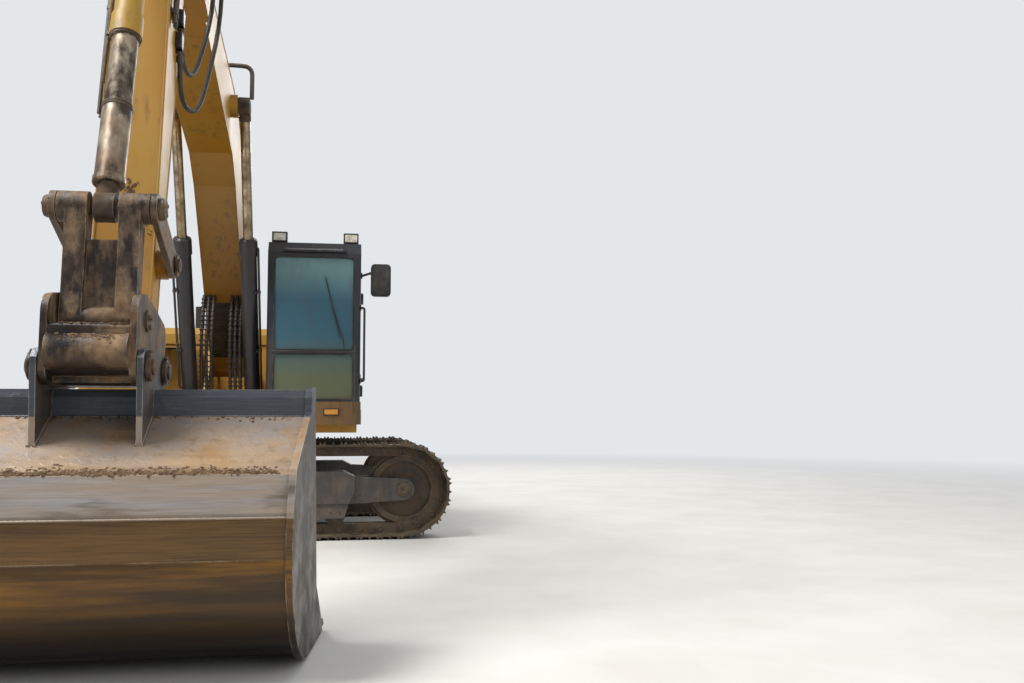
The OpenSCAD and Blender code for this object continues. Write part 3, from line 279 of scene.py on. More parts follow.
def bucket_plate(name):
    """Abrasion-resistant plate scoured by soil, in the bands that wear leaves: dried tan mud on the slope,
    bare blue-grey steel below the bend, an ochre wear strip and a brown shell whose scoured streaks are
    brightened gold as painted highlights and which goes to near-black at its foot as painted shade, all drawn
    out sideways by soil that slides along; the box beam, ears and side plates are darker blue-grey as painted
    shade, with bright rubbed edges that are partly painted highlights."""
    made, tree = surface(name)
    fine = patches(tree, 8, 0.3, 0.7, detail=3.0, stretch=(1, 0.03, 1))
    drawn = patches(tree, 150, 0.36, 0.64, detail=8.0, stretch=(1, 0.09, 1))
    broad = patches(tree, 420, 0.38, 0.62, detail=7.0, stretch=(1, 0.4, 1))
    # slope: dust with bare, slightly violet steel showing through, ochre where it is thickest
    slope = over("#a88e70", "#8b8584", broad)
    slope = stain(slope, "#a2763a", 0.55, 300, 0.5, 0.66, detail=7.0)
    ridge = patches(tree, 110, 0.4, 0.55, detail=9.0, stretch=(1, 0.5, 1))
    slope = over(slope, "#7a6042", times(times(low_down(tree, 1.10, 1.07), ridge), 0.85))
    slope = stain(slope, "#7c6248", 0.6, 70, 0.56, 0.7, detail=8.0)
    # band below the bend
    band = over("#7d7876", "#9b9a9e", fine)
    band = over(band, "#8d7556", times(drawn, 0.7))
    band = stain(band, "#43352a", 0.7, 130, 0.55, 0.66, detail=9.0, stretch=(1, 0.16, 1))
    band = over(band, "#8f7c62", times(low_down(tree, 0.93, 0.86), times(broad, 0.6)))
    # wear strip and shell
    strip = over(over("#664a27", "#3a2a1a", drawn), "#876536", times(fine, 0.4))
    # painted highlight: scoured streaks brightened gold, most of all up the shell
    shell = over("#523814", "#9a6a1c", times(drawn, low_down(tree, 0.22, 0.52)))
    shell = stain(shell, "#2f2216", 0.8, 120, 0.45, 0.6, stretch=(1, 0.05, 1))
    # painted shade: the shell darkens to near-black towards its foot
    shell = over(shell, "#14100c", times(low_down(tree, 0.52, 0.16), between(drawn, 0.85, 1.0)))
    # box beam behind the slope, in dark blue-grey, and the side plates, both darker as painted shade
    beam = over("#39404a", "#5d5c5c", times(fine, 0.6))
    sides = over("#43413f", "#5d6064", patches(tree, 200, 0.4, 0.6))
    sides = over(sides, "#5b452e", times(broad, 0.6))
    # painted shade: the side plates darken towards the bottom
    sides = over(sides, "#241a12", low_down(tree, 0.9, 0.1))
    # each zone covers what is beyond the second of its two heights
    zones = ((band, 1.052, 1.044), (strip, 0.838, 0.832), (shell, 0.634, 0.628), (beam, 1.338, 1.348))
    colour = slope
    for zone, from_height, to_height in zones:
        colour = over(colour, zone, low_down(tree, from_height, to_height))
    # painted shade: faces that look sideways take the darker colour of the sides
    colour = over(colour, sides, times(facing_sideways(tree, 0.6, 0.9), 0.92))
    # bright rubbed edges, partly painted highlights
    colour = over(colour, "#bdb2a2", times(worn_edges(tree, 7, 120), 0.85))
    cake = patches(tree, 60, 0.5, 0.7, detail=8.0)
    relief = times(times(cake, low_down(tree, 1.0, 1.1)), times(fine, 0.1), "ADD")
    return finished(made, colour, between(drawn, 0.34, 0.6), relief, 3.0, {"Metallic": 0.3})


def track_metal(name, base, rust, dust, bright):
    """Rolled and forged track steel: rust brown with packed dust, polished grey along the edges that rub."""
    made, tree = surface(name)
    colour = over(base, rust, patches(tree, 90, 0.4, 0.62))
    packed = times(patches(tree, 160, 0.36, 0.6, detail=8.0), times(facing_up(tree, -0.4, 0.9), 0.35, "ADD"))
    colour = over(colour, dust, times(packed, 0.8))
    colour = over(colour, bright, worn_edges(tree, 5, 90))
    grain = patches(tree, 14, 0.35, 0.65)
    return finished(made, colour, between(packed, 0.5, 0.92), grain, 1.5, {"Metallic": 0.4})


def hard_chrome(name):
    """Ground and chromed rod: mirror-like, tinted golden brown as a painted reflection, with dust stuck in a
    film of oil.
    """
    made, tree = surface(name)
    film = patches(tree, 120, 0.4, 0.68, detail=8.0)
    # painted reflection: the golden-brown tint of the chrome
    colour = over("#a8977e", "#574430", times(film, 0.8))
    return finished(made, colour, between(film, 0.22, 0.6), uniform={"Metallic": 1.0})


def moulded(name, colour_code, dust, roughness, dusty, grain_mm):
    """Moulded rubber or plastic: matt and finely grained, with dust in the grain."""
    made, tree = surface(name)
    film = times(patches(tree, 140, 0.4, 0.7), dusty)
    settled = times(facing_up(tree, 0.2, 0.9), dusty)
    colour = over(colour_code, dust, times(film, settled, "MAXIMUM"))
    return finished(made, colour, between(film, roughness, 0.9), patches(tree, grain_mm, 0.3, 0.7), 0.2)


def tinted_glass(name, tint, dust):
    """Toughened safety glass with a blue-green tint, a film of dust and wiped streaks."""
    made, tree = surface(name)
    streaks = patches(tree, 60, 0.45, 0.8, detail=6.0, stretch=(1, 1, 0.2))
    corners = times(low_down(tree, 2.3, 1.5), patches(tree, 220, 0.3, 0.7))
    film = times(times(streaks, 0.3), times(corners, 0.45), "MAXIMUM")
    # deeper blue below the top of the panes as a painted reflection, olive with dust low down
    shade = over(tint, "#4f7f94", low_down(tree, 2.92, 2.6))
    shade = over(shade, "#7d8767", low_down(tree, 2.2, 1.75))
    clear = {"Transmission Weight": 0.5, "IOR": 1.45}
    return finished(made, over(shade, dust, film), between(film, 0.03, 0.45), uniform=clear)


def lens(name, tint):
    """Pressed lamp lens: ribbed, clear or coloured."""
    made, tree = surface(name)
    ribs = {"Vector": place_of(tree), "Scale": per_mm(40), "Distortion": 0.0}
    ribs = node(tree, "ShaderNodeTexWave", ribs, "Fac", bands_direction="Y")
    colour = over(tint, "#8f8168", patches(tree, 70, 0.4, 0.8))
    return finished(made, colour, 0.25, ribs, 2.0, {"Coat Weight": 0.6})


def woven(name, yarn, shade):
    """Woven seat cloth: twill of two yarns, wide enough apart to show, with a soft sheen."""
    made, tree = surface(name)
    warp = {"Vector": place_of(tree), "Scale": per_mm(19)}
    warp = node(tree, "ShaderNodeTexWave", warp, "Fac", bands_direction="DIAGONAL")
    colour = over(yarn, shade, times(warp, patches(tree, 90, 0.2, 0.9)))
    return finished(made, colour, 0.95, warp, 0.6, {"Sheen Weight": 0.3})


def silvered(name):
    """Mirror glass: silvered, nearly free of dust because it is wiped."""
    made, tree = surface(name)
    film = patches(tree, 90, 0.5, 0.8, detail=7.0)
    colour = over("#c4ccd0", "#8d8678", times(film, 0.5))
    return finished(made, colour, between(film, 0.03, 0.3), uniform={"Metallic": 1.0})


def scoured_tube(name):
    """Steel tube scoured bare by soil: a soft metal sheen, pale scuffs along it and dark oily stains."""
    made, tree = surface(name)
    scuffs = patches(tree, 60, 0.4, 0.64, detail=8.0, stretch=(1, 1, 0.25))
    stains = patches(tree, 170, 0.5, 0.6, detail=7.0, stretch=(1, 1, 0.5))
    colour = over("#8d7f6e", "#b3a48d", scuffs)
    colour = stain(colour, "#6a4a2c", 0.6, 220, 0.46, 0.62)
    colour = over(colour, "#2b221b", times(stains, 0.85))
    return finished(made, colour, between(scuffs, 0.3, 0.5), stains, 0.6, {"Metallic": 0.6})


def dried_mud(name, dry, damp):
    """Clods of soil: dry and pale outside, darker where damp, with a crumbly grain."""
    made, tree = surface(name)
    colour = over(dry, damp, patches(tree, 35, 0.35, 0.65))
    return finished(made, colour, 0.96, patches(tree, 5, 0.3, 0.7), 2.0)


# Each finish: its slot in the record, the function that mixes it and what that takes
FINISHES = {
    # the yellow enamel's last number is the strength of its painted shade under overhangs
    "yellow": ("body_paint", enamel, "yellow_enamel", "#ab7406", "#a5801f", "#a38755", "#5d5349", 0.4,
               0.55, "#46321c", 0.6, 0.55),
    "soiled": ("body_paint", enamel, "soiled_enamel", "#704d18", "#4d3822", "#6b5740", "#40352b", 0.5,
               0.9, "#2b2118"),
    "navy": ("black_paint", enamel, "navy_enamel", "#111a24", "#1b2530", "#6b5a45", "#4c443c", 0.3,
               0.35, "#4a3623"),
    "grey": ("frame_paint", enamel, "grey_enamel", "#26272b", "#33343a", "#6d604f", "#57504a", 0.5,
               0.75, "#3d2f22"),
    "black": ("black_paint", enamel, "black_enamel", "#1b1a1d", "#26242a", "#5d5143", "#514840", 0.32,
               0.4, "#3a2c20"),
    "pipe": ("pipe_steel", enamel, "pipe_enamel", "#2a2320", "#3a302a", "#6b5942", "#6a5d50", 0.45, 0.6),
    "linkage": ("worn_cast", cast_steel, "linkage_cast_steel", "#3b2d23", "#a78b6b", "#5f452e"),
    "rusty": ("worn_cast", cast_steel, "gland_cast_steel", "#3a2c22", "#6e5a44", "#45321f"),
    # painted shade: near-black steel for the front of the coupler's cross plate
    "painted_shade": ("worn_cast", cast_steel, "painted_shade_steel", "#1d1916", "#352920", "#261d17"),
    "pins": ("pin_steel", cast_steel, "pin_steel", "#3d3027", "#8a745c", "#4a3524"),
    "bucket": ("bucket_steel", bucket_plate, "bucket_plate_steel"),
    "track": ("track_steel", track_metal, "track_steel", "#34322f", "#4c3826", "#75654f", "#8d867b"),
    "chrome": ("rod_chrome", hard_chrome, "hard_chrome"),
    "scoured": ("barrel_black", scoured_tube, "scoured_tube"),
    "mud": ("bucket_steel", dried_mud, "dried_mud", "#7d6347", "#4a3523"),
    "rubber": ("dark_plastic", moulded, "hose_rubber", "#161514", "#6a5a45", 0.55, 0.45, 4.0),
    "plastic": ("dark_plastic", moulded, "grained_abs", "#1a1b1d", "#6b5f50", 0.5, 0.3, 2.5),
    "glass": ("window_glass", tinted_glass, "tinted_safety_glass", "#86aeb0", "#7a6a52"),
    "mirror": ("window_glass", silvered, "silvered_glass"),
    "lamp": ("window_glass", lens, "clear_lens", "#d9d6c8"),
    "amber": ("window_glass", lens, "amber_lens", "#d98a1e"),
    "cloth": ("seat_cloth", woven, "seat_twill", "#26272b", "#3d3f46"),
}
# The solids that wear a finish
NODE_FINISHES = {
    "yellow": "deck engine_housing engine_hood side_locker tanks step_box centre_cover boom stick "
    "stick_cylinder_barrel bucket_cylinder_barrel counterweight",
    "soiled": "cab_skirt",
    "navy": "cab_shell cab_door",
    "grey": "car_body swing_ring track_frames final_drives",
    "black": "boom_cylinder_barrels exhaust handrails",
    "pipe": "boom_pipes",
    "linkage": "idler_links h_link quick_coupler",
    "pins": "upper_pins boom_pins stick_pins coupler_pins",
    "bucket": "bucket",
    "track": "track_left track_right idler_wheels sprockets lower_rollers carrier_rollers engine_block",
    "chrome": "boom_cylinder_rods stick_cylinder_rod bucket_cylinder_rod",
    "plastic": "consoles rear_mirror cab_lamps seat",
    "glass": "cab_glass door_glass",
}
MATERIALS = {}


def wear(piece, finish):
    """Gives a piece one finish."""
    piece.data.materials.clear()
    piece.data.materials.append(MATERIALS[finish])


def refinish(name, finish, test):
    """Second finish on those faces of a solid whose middle passes the test."""
    piece = frame["nodes"][name]
    piece.data.materials.append(MATERIALS[finish])
    last = len(piece.data.materials) - 1
    for face in piece.data.polygons:
        if test(piece.matrix_world @ face.center):
            face.material_index = last


# Modelling helpers


def deselect():
    """Object mode with nothing selected, as every operator below wants it."""
    if bpy.context.mode != "OBJECT":
        bpy.ops.object.mode_set(mode="OBJECT")
    bpy.ops.object.select_all(action="DESELECT")


def activate(piece):
    """Only this piece selected and active."""
    deselect()
    piece.select_set(True)
    bpy.context.view_layer.objects.active = piece


def start(kind, name, **settings):
    """New primitive whose place is put into its mesh."""
    deselect()
    getattr(bpy.ops.mesh, f"primitive_{kind}_add")(**settings)
    piece = bpy.context.active_object
    piece.name = name
    bpy.ops.object.transform_apply(location=True, rotation=True, scale=True)
    return piece


def pick(piece, test):
    """Edit mode with only the faces selected whose middle and normal pass the test."""
    activate(piece)
    bpy.ops.object.mode_set(mode="EDIT")
    bpy.context.tool_settings.mesh_select_mode = (False, False, True)
    bpy.ops.mesh.select_all(action="DESELECT")
    mesh = bmesh.from_edit_mesh(piece.data)
    for face in mesh.faces:
        face.select_set(test(face.calc_center_median(), face.normal))
    bmesh.update_edit_mesh(piece.data)


def whole(piece):
    """Edit mode with everything selected."""
    pick(piece, lambda middle, normal: True)


def pressed(piece, test, *steps):
    """Insets the faces that pass the test and shifts them, once for each (inset, shift) step."""
    pick(piece, test)
    for inset, shift in steps:
        bpy.ops.mesh.inset(thickness=inset)
        bpy.ops.transform.translate(value=shift)
    bpy.ops.object.mode_set(mode="OBJECT")
    return piece


def looks_up(middle, normal):
    """Test for faces that look up."""
    return normal.z > 0.9


def modify(piece, kind, **settings):
    """Applies one modifier."""
    activate(piece)
    modifier = piece.modifiers.new(kind.title(), kind)
    for name, value in settings.items():
        setattr(modifier, name, value)
    bpy.ops.object.modifier_apply(modifier=modifier.name)


def box(name, low, high):
    """Plain box between two corners."""
    low, high = Vector(low), Vector(high)
    piece = start("cube", name, size=1)
    piece.data.transform(Matrix.Translation((low + high) / 2) @ Matrix.Diagonal((*(high - low), 1)))
    return piece


def block(name, low, high, edge=0.004):
    """Plate or box between two corners, every edge sharper than thirty degrees rounded."""
    piece = box(name, low, high)
    sharp = math.radians(30)
    modify(piece, "BEVEL", width=edge, segments=2, limit_method="ANGLE", angle_limit=sharp)
    return piece


def tidy_skin(piece):
    """Merges doubles and turns every face outwards."""
    whole(piece)
    bpy.ops.mesh.remove_doubles(threshold=0.00005)
    bpy.ops.mesh.dissolve_degenerate(threshold=0.00005)
    bpy.ops.mesh.normals_make_consistent(inside=False)
    bpy.ops.object.mode_set(mode="OBJECT")


def turned(name, profile, place, steps):
    """Turned piece: a closed outline of (along, radius) points spun round the first axis of its place."""
    piece = start("circle", name, vertices=len(profile), radius=1, fill_type="NOTHING")
    for vertex, (along, radius) in zip(piece.data.vertices, profile):
        vertex.co = (along, 0, radius)
    turn = {"axis": "X", "steps": steps, "render_steps": steps}
    modify(piece, "SCREW", **turn, use_merge_vertices=True, merge_threshold=0.0001)
    tidy_skin(piece)
    piece.data.transform(place)
    return piece


def joined(name, pieces):
    """Several pieces made one."""
    deselect()
    for piece in pieces:
        piece.select_set(True)
    bpy.context.view_layer.objects.active = pieces[0]
    if len(pieces) > 1:
        bpy.ops.object.join()
    pieces[0].name = name
    return pieces[0]


def copies(name, model, places):
    """The model repeated at each place, as one piece; the model itself goes."""
    made = []
    for place in places:
        copy = model.copy()
        copy.data = model.data.copy()
        copy.data.transform(place)
        bpy.context.scene.collection.objects.link(copy)
        made.append(copy)
    bpy.data.objects.remove(model)
    return joined(name, made)


def facing(point, direction):
    """Place at a point whose third axis looks along direction."""
    return Matrix.Translation(point) @ Vector(direction).to_track_quat("Z", "Y").to_matrix().to_4x4()


def looking(point, direction):
    """Place at a point whose first axis looks along direction."""
    return Matrix.Translation(point) @ direction.to_track_quat("X", "Z").to_matrix().to_4x4()


def upright(point):
    """Place at a point whose first axis looks up."""
    return facing(point, UP) @ Matrix.Rotation(-math.pi / 2, 4, "Y")


def sideways(point, side):
    """Place at a point whose first axis looks out to one side."""
    return Matrix.Translation(point) @ Matrix.Rotation(side * math.pi / 2, 4, "Z")


def endways(point, side):
    """Place at a point whose first axis looks ahead or back."""
    turn = Matrix.Identity(4) if side > 0 else Matrix.Rotation(math.pi, 4, "Z")
    return Matrix.Translation(point) @ turn


def bolt_head(size):
    """Hexagon head with a chamfered top on a round washer, standing on the origin."""
    head = start("cylinder", "bolt", vertices=6, radius=size, depth=0.7 * size, location=(0, 0, 0.55 * size))
    pressed(head, looks_up, (0.16 * size, (0, 0, 0.1 * size)))
    low = (0, 0, 0.11 * size)
    washer = start("cylinder", "washer", vertices=12, radius=1.35 * size, depth=0.22 * size, location=low)
    return joined("bolt", [head, washer])


def bolts(name, places, size, body, finish="pins"):
    """Bolt heads of one size, at (point, direction) places."""
    piece = copies(name, bolt_head(size), [facing(point, direction) for point, direction in places])
    return put(piece, finish, body)


def circle(radius, count, shift=0.5):
    """Evenly spaced points on a circle, the first one a share of their spacing round from the first axis."""
    angles = [math.tau * (i + shift) / count for i in range(count)]
    return [(radius * math.cos(angle), radius * math.sin(angle)) for angle in angles]


def smooth_line(points, steps=8):
    """Catmull-Rom line through the points."""
    points = [Vector(p) for p in points]
    last = len(points) - 1
    line = []
    for i in range(last):
        a, b, c, d = (points[min(max(i + k, 0), last)] for k in (-1, 0, 1, 2))
        for step in range(steps):
            t = step / steps
            point = 2 * b + (c - a) * t + (2 * a - 5 * b + 4 * c - d) * t * t
            line.append(0.5 * (point + (3 * b - a - 3 * c + d) * t**3))
    return [*line, points[-1]]


def eased_line(points, count=32):
    """Cubic B-spline line from the first point to the last, as a stiff hose would bend past those between."""
    points = [Vector(p) for p in (points[0], points[0], *points, points[-1], points[-1])]
    spans = len(points) - 3
    line = []
    for step in range(count):
        place = spans * step / (count - 1)
        i = min(int(place), spans - 1)
        t = place - i
        a, b, c, d = points[i : i + 4]
        point = (1 - t) ** 3 * a + (3 * t**3 - 6 * t * t + 4) * b
        line.append((point + (-3 * t**3 + 3 * t * t + 3 * t + 1) * c + t**3 * d) / 6)
    return line


def rounded_line(corners, radius, steps=5, closed=False):
    """Straight runs between the corners, each corner an arc of about this radius."""
    corners = [Vector(p) for p in corners]
    count = len(corners)
    line = []
    for i, corner in enumerate(corners):
        if not closed and i in (0, count - 1):
            line.append(corner)
            continue
        before, after = corners[i - 1] - corner, corners[(i + 1) % count] - corner
        cut = min(radius, 0.45 * before.length, 0.45 * after.length)
        first, last = corner + before.normalized() * cut, corner + after.normalized() * cut
        for step in range(steps + 1):
            t = step / steps
            line.append(first.lerp(corner, t).lerp(corner.lerp(last, t), t))
    return line


def tube(name, line, radius, closed=False, sides=2, swell=None):
    """Pipe, hose or bead along a line of points; swell gives the radius's share at each point."""
    curve = bpy.data.curves.new(name, "CURVE")
    curve.dimensions = "3D"
    curve.bevel_depth = radius
    curve.bevel_resolution = sides
    curve.use_fill_caps = not closed
    spline = curve.splines.new("POLY")
    spline.points.add(len(line) - 1)
    for i, point in enumerate(line):
        spline.points[i].co = (*point, 1)
        spline.points[i].radius = swell[i] if swell else 1
    spline.use_cyclic_u = closed
    piece = bpy.data.objects.new(name, curve)
    bpy.context.scene.collection.objects.link(piece)
    activate(piece)
    bpy.ops.object.convert(target="MESH")
    piece = bpy.context.active_object
    piece.name = name
    tidy_skin(piece)
    return piece


def bent_tube(name, corners, bend, radius, **settings):
    """Pipe of straight runs with rounded corners."""
    return tube(name, rounded_line(corners, bend), radius, **settings)


def weld(corners, radius, seed):
    """Weld bead along straight runs, its ripples a bead's width apart."""
    rng = random.Random(seed)
    line = []
    for first, last in zip(corners, corners[1:]):
        first, last = Vector(first), Vector(last)
        count = max(2, int((last - first).length / (1.6 * radius)))
        line += [first.lerp(last, i / count) for i in range(count)]
    line.append(Vector(corners[-1]))
    swell = [(0.86 if i % 2 else 1.08) + 0.08 * rng.random() for i in range(len(line))]
    return tube("bead", line, radius, sides=1, swell=swell)


def put(piece, finish, body, smooth=35):
    """Finish, shading and body of a finished piece."""
    wear(piece, finish)
    activate(piece)
    bpy.ops.object.shade_smooth_by_angle(angle=math.radians(smooth))
    if body:
        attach(piece, body)
    return piece


def put_all(name, pieces, finish, body, smooth=35):
    """Several pieces made one and finished."""
    return put(joined(name, pieces), finish, body, smooth)


def hose(name, line, radius):
    """Rubber hose that hangs between two fittings, each on its own body, with the line that it follows."""
    piece = put(tube(name, line, radius, sides=3), "rubber", None, 60)
    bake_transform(piece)
    return piece


def guard_rings(name, points, radius, gap=0.05):
    """Coils of the spring guard round a hose, bent with it."""
    line = smooth_line(points, 24)
    sizes = {"major_radius": radius + 0.004, "minor_radius": 0.007}
    model = start("torus", "ring", major_segments=12, minor_segments=6, **sizes)
    places = []
    run = 0.0
    for a, b in zip(line, line[1:]):
        run += (b - a).length
        if run > gap:
            run = 0.0
            places.append(facing(b, b - a))
    piece = put(copies(name, model, places), "black", None, 60)
    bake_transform(piece)


# Outlines in hose radii: sleeve, hexagon and neck of a swaged hose end, and a short tapered strain relief
FERRULE = ((-0.9, 0.3), (-0.9, 1.3), (1.6, 1.3), (1.8, 1.1), (2.6, 1.1), (2.6, 1.5), (3.6, 1.5), (3.6, 0.3))
COLLAR = ((-0.4, 0.3), (-0.4, 1.3), (0.3, 1.3), (0.8, 1.08), (0.8, 0.3))


def hose_fitting(name, outline, place, radius, body):
    """Turned steel fitting on a hose of this radius."""
    profile = [(along * radius, out * radius) for along, out in outline]
    return put(turned(name, profile, place, 12), "pipe", body)


def hose_end(name, tip, inner, radius, body):
    """Ferrule over a hose's last stretch, its hexagon against what the hose screws into."""
    ahead = (tip - inner).normalized()
    return hose_fitting(name, FERRULE, looking(tip - 2.7 * radius * ahead, ahead), radius, body)


# Pieces of the bucket and its linkage


def clod(seed):
    """Crumb of dried mud, flattened where it sticks."""
    piece = start("ico_sphere", "clod", subdivisions=1, radius=1)
    whole(piece)
    bpy.ops.transform.vertex_random(offset=0.35, uniform=1.0, seed=seed)
    bpy.ops.object.mode_set(mode="OBJECT")
    piece.data.transform(Matrix.Diagonal((1, 1, 0.55, 1)))
    return piece


def crumbs(name, body, spots, seed):
    """Mud crumbs at (point, normal, size) spots."""
    rng = random.Random(seed)
    made = []
    for kind in range(4):
        places = []
        for point, normal, size in spots[kind::4]:
            spin = Matrix.Rotation(rng.uniform(0, math.tau), 4, "Z")
            stretch = Matrix.Diagonal((size * rng.uniform(0.7, 1.5), size * rng.uniform(0.7, 1.3), size, 1))
            places.append(facing(point, normal) @ spin @ stretch)
        made.append(copies(name, clod(seed + kind), places))
    return put_all(name, made, "mud", body, 50)


# The slope behind the bucket's bend, from its upper edge down to the bend, and where it looks
SLOPE_TOP, BEND = Vector((0.49, 0, -0.446)), Vector((1.04, 0, -0.745))
SLOPE_NORMAL = (0.477, 0, 0.879)
BUCKET_FRONT, BUCKET_HALF, SIDE_TAPER = 1.14, 1.085, 0.1


def bucket_half(x, inset):
    """Half the bucket's width, at a distance ahead of the tip pin."""
    return BUCKET_HALF + (BUCKET_FRONT - x) * SIDE_TAPER - inset


class EXCAVATOR_OT_bucket(bpy.types.Operator):
    """Weld beads and caked mud of the bucket"""

    bl_idname = "excavator.bucket"
    bl_label = "Bucket"

    def execute(self, context):
        crumb_count = context.scene.excavator_wear.crumb_count
        beads = []
        # across the shell: along the box beam and along both edges of the wear strip
        for x, z in ((0.495, -0.451), (1.1335, -0.958), (1.144, -1.168)):
            half = bucket_half(x, 0.04)
            beads.append(weld([(x, -half, z), (x, half, z)], 0.008, 3))
        # round the foot of each ear, on both of its faces
        for side in SIDES:
            for y in (0.25, 0.282):
                feet = [(0.50, -0.452), (0.79, -0.608)]
                beads.append(weld([(x, side * y, z + 0.003) for x, z in feet], 0.009, 5))
        bead = joined("bucket_welds", beads)
        bead.data.transform(BUCKET)
        put(bead, "bucket", "bucket", 60)
        rng = random.Random(11)
        spots = []
        for _ in range(crumb_count):
            # mostly just above the bend, thinning out up the slope and towards the right end
            y = rng.uniform(-1.04, 1.0)
            if rng.random() < 0.25 * (y + 1.04):
                continue
            back = abs(rng.gauss(0, 0.03)) + 0.008
            t = 1 - back / (BEND - SLOPE_TOP).length
            point = SLOPE_TOP.lerp(BEND, t) + Vector((0, y, 0))
            size = rng.uniform(0.003, 0.010) * (1.5 if back < 0.03 else 1)
            spots.append((BUCKET @ point, SLOPE_NORMAL, size))
        for _ in range(crumb_count // 8):
            # in the corner between the slope and the box beam, and beside the ears
            y = rng.choice((rng.uniform(-1.05, 1.05), rng.gauss(0.27, 0.03), rng.gauss(-0.27, 0.03)))
            point = SLOPE_TOP + Vector((0.012 + abs(rng.gauss(0, 0.02)), y, 0))
            point.z -= 0.54 * (point.x - SLOPE_TOP.x)
            spots.append((BUCKET @ point, SLOPE_NORMAL, rng.uniform(0.004, 0.012)))
        crumbs("bucket_mud", "bucket", spots, 21)
        return {"FINISHED"}


def pin_cap(place, r):
    """Domed end plate of a pin with a turned groove."""
    profile = [(-0.002, 0.0), (-0.002, r), (0.010, r), (0.014, 0.93 * r), (0.014, 0.7 * r), (0.011, 0.66 * r)]
    profile += [(0.011, 0.3 * r), (0.016, 0.26 * r), (0.017, 0.0)]
    return put(turned("cap", profile, place, 28), "pins", None)


def ring_of_bolts(centre, side, radius, count, turn):
    """Bolt places on a circle in the side plane, looking out to one side."""
    spots = circle(radius, count, turn * count / math.tau)
    return [(centre + Vector((x, 0, z)), (0, side, 0)) for x, z in spots]


class EXCAVATOR_OT_linkage(bpy.types.Operator):
    """Pin caps, locking bolts, cross tube and mud of the bucket linkage"""

    bl_idname = "excavator.linkage"
    bl_label = "Linkage"

    def execute(self, context):
        collar = [(-0.028, 0.0455), (-0.028, 0.074), (-0.024, 0.078)]
        collar += [(-0.004, 0.078), (0, 0.074), (0, 0.0455)]
        caps, places = [], []
        for side in SIDES:
            for x, z in ((0.19, -0.195), (0.7, -0.185)):
                place = sideways(STICK_TIP + Vector((x, side * 0.312, z)), side)
                caps += [pin_cap(place, 0.045), put(turned("collar", collar, place, 28), "pins", None)]
                # locking bolt through each collar
                places.append((STICK_TIP + Vector((x, side * 0.298, z + 0.078)), UP))
            places += ring_of_bolts(LINK_PIN + Vector((0, side * 0.26, 0)), side, 0.036, 3, 0.5)
        put_all("coupler_pin_caps", caps, "pins", "bucket")
        bolts("coupler_bolts", places, 0.013, "bucket")
        ends, places = [], []
        for side in SIDES:
            point = KNUCKLE + Vector((0, side * 0.312, 0))
            ends.append(pin_cap(sideways(point, side), 0.06))
            places += ring_of_bolts(point + Vector((0, side * 0.011, 0)), side, 0.034, 3, 0.3)
        put_all("knuckle_caps", ends, "pins", "idlers")
        bolts("knuckle_bolts", places, 0.011, "idlers")
        ends = [pin_cap(sideways(IDLER_PIN + Vector((0, side * 0.306, 0)), side), 0.042) for side in SIDES]
        put_all("idler_pin_caps", ends, "pins", "stick")
        # torsion tube across the coupler's front, with mud baked on its top
        centre = LINK_PIN + Vector((0.225, 0, -0.185))
        profile = [(-0.2075, 0.004), (-0.2075, 0.100), (-0.190, 0.100), (-0.182, 0.095)]
        profile += [(-along, radius) for along, radius in reversed(profile)]
        put(turned("coupler_tube", profile, sideways(centre, 1), 40), "linkage", "bucket")
        rng = random.Random(17)
        spots = []
        for _ in range(150):
            # a ragged ridge of mud, thickest in the middle
            angle = rng.gauss(0.35, 0.28)
            out = Vector((math.sin(angle), 0, math.cos(angle)))
            y = rng.gauss(0.0, 0.09)
            if abs(y) < 0.175:
                spots.append((centre + out * 0.094 + Vector((0, y, 0)), out, rng.uniform(0.004, 0.011)))
        crumbs("coupler_tube_mud", "bucket", spots, 61)
        link = LINK_PIN - KNUCKLE
        out = Vector((-link.z, 0, link.x)).normalized() * -1
        spots = []
        for _ in range(70):
            # mud on the web of the H-shaped link and on its lower tube
            web = KNUCKLE + link * rng.uniform(0.35, 0.9) + out * 0.022
            spots.append((web + Vector((0, rng.uniform(-0.08, 0.08), 0)), out, rng.uniform(0.004, 0.011)))
        crumbs("h_link_mud", "h_link", spots, 31)
        spots = []
        for _ in range(90):
            # mud in the floor of the coupler
            y, x = rng.uniform(-0.2, 0.2), rng.uniform(0.3, 0.6)
            spots.append((STICK_TIP + Vector((x, y, -0.254 + 0.01 * x)), UP, rng.uniform(0.005, 0.016)))
        for _ in range(60):
            # and along its cross plate
            point = LINK_PIN + Vector((0.228 + rng.gauss(0, 0.006), rng.uniform(-0.2, 0.2), -0.034))
            spots.append((point, UP, rng.uniform(0.004, 0.010)))
        crumbs("coupler_mud", "bucket", spots, 41)
        return {"FINISHED"}


# Cylinders and their lines


def gland(name, frame_, length, rod, barrel, body, finish):
    """Bolted gland at the mouth of a barrel, with its wiper lip."""
    b, r = barrel + 0.011, rod
    profile = [(-0.001, r + 0.004), (-0.001, b - 0.004), (0.016, b - 0.004), (0.02, b - 0.01)]
    profile += [(0.02, r + 0.03), (0.034, r + 0.016), (0.034, r + 0.0025), (0.01, r + 0.0015)]
    mouth = frame_ @ Matrix.Translation((length, 0, 0))
    put(turned(name, profile, mouth, 36), finish, body)
    ahead = frame_.to_3x3() @ Vector((1, 0, 0))
    places = [(at(mouth, 0.02, y, z), ahead) for y, z in circle(b - 0.02, 10)]
    bolts(name + "_bolts", places, 0.009, body, finish)


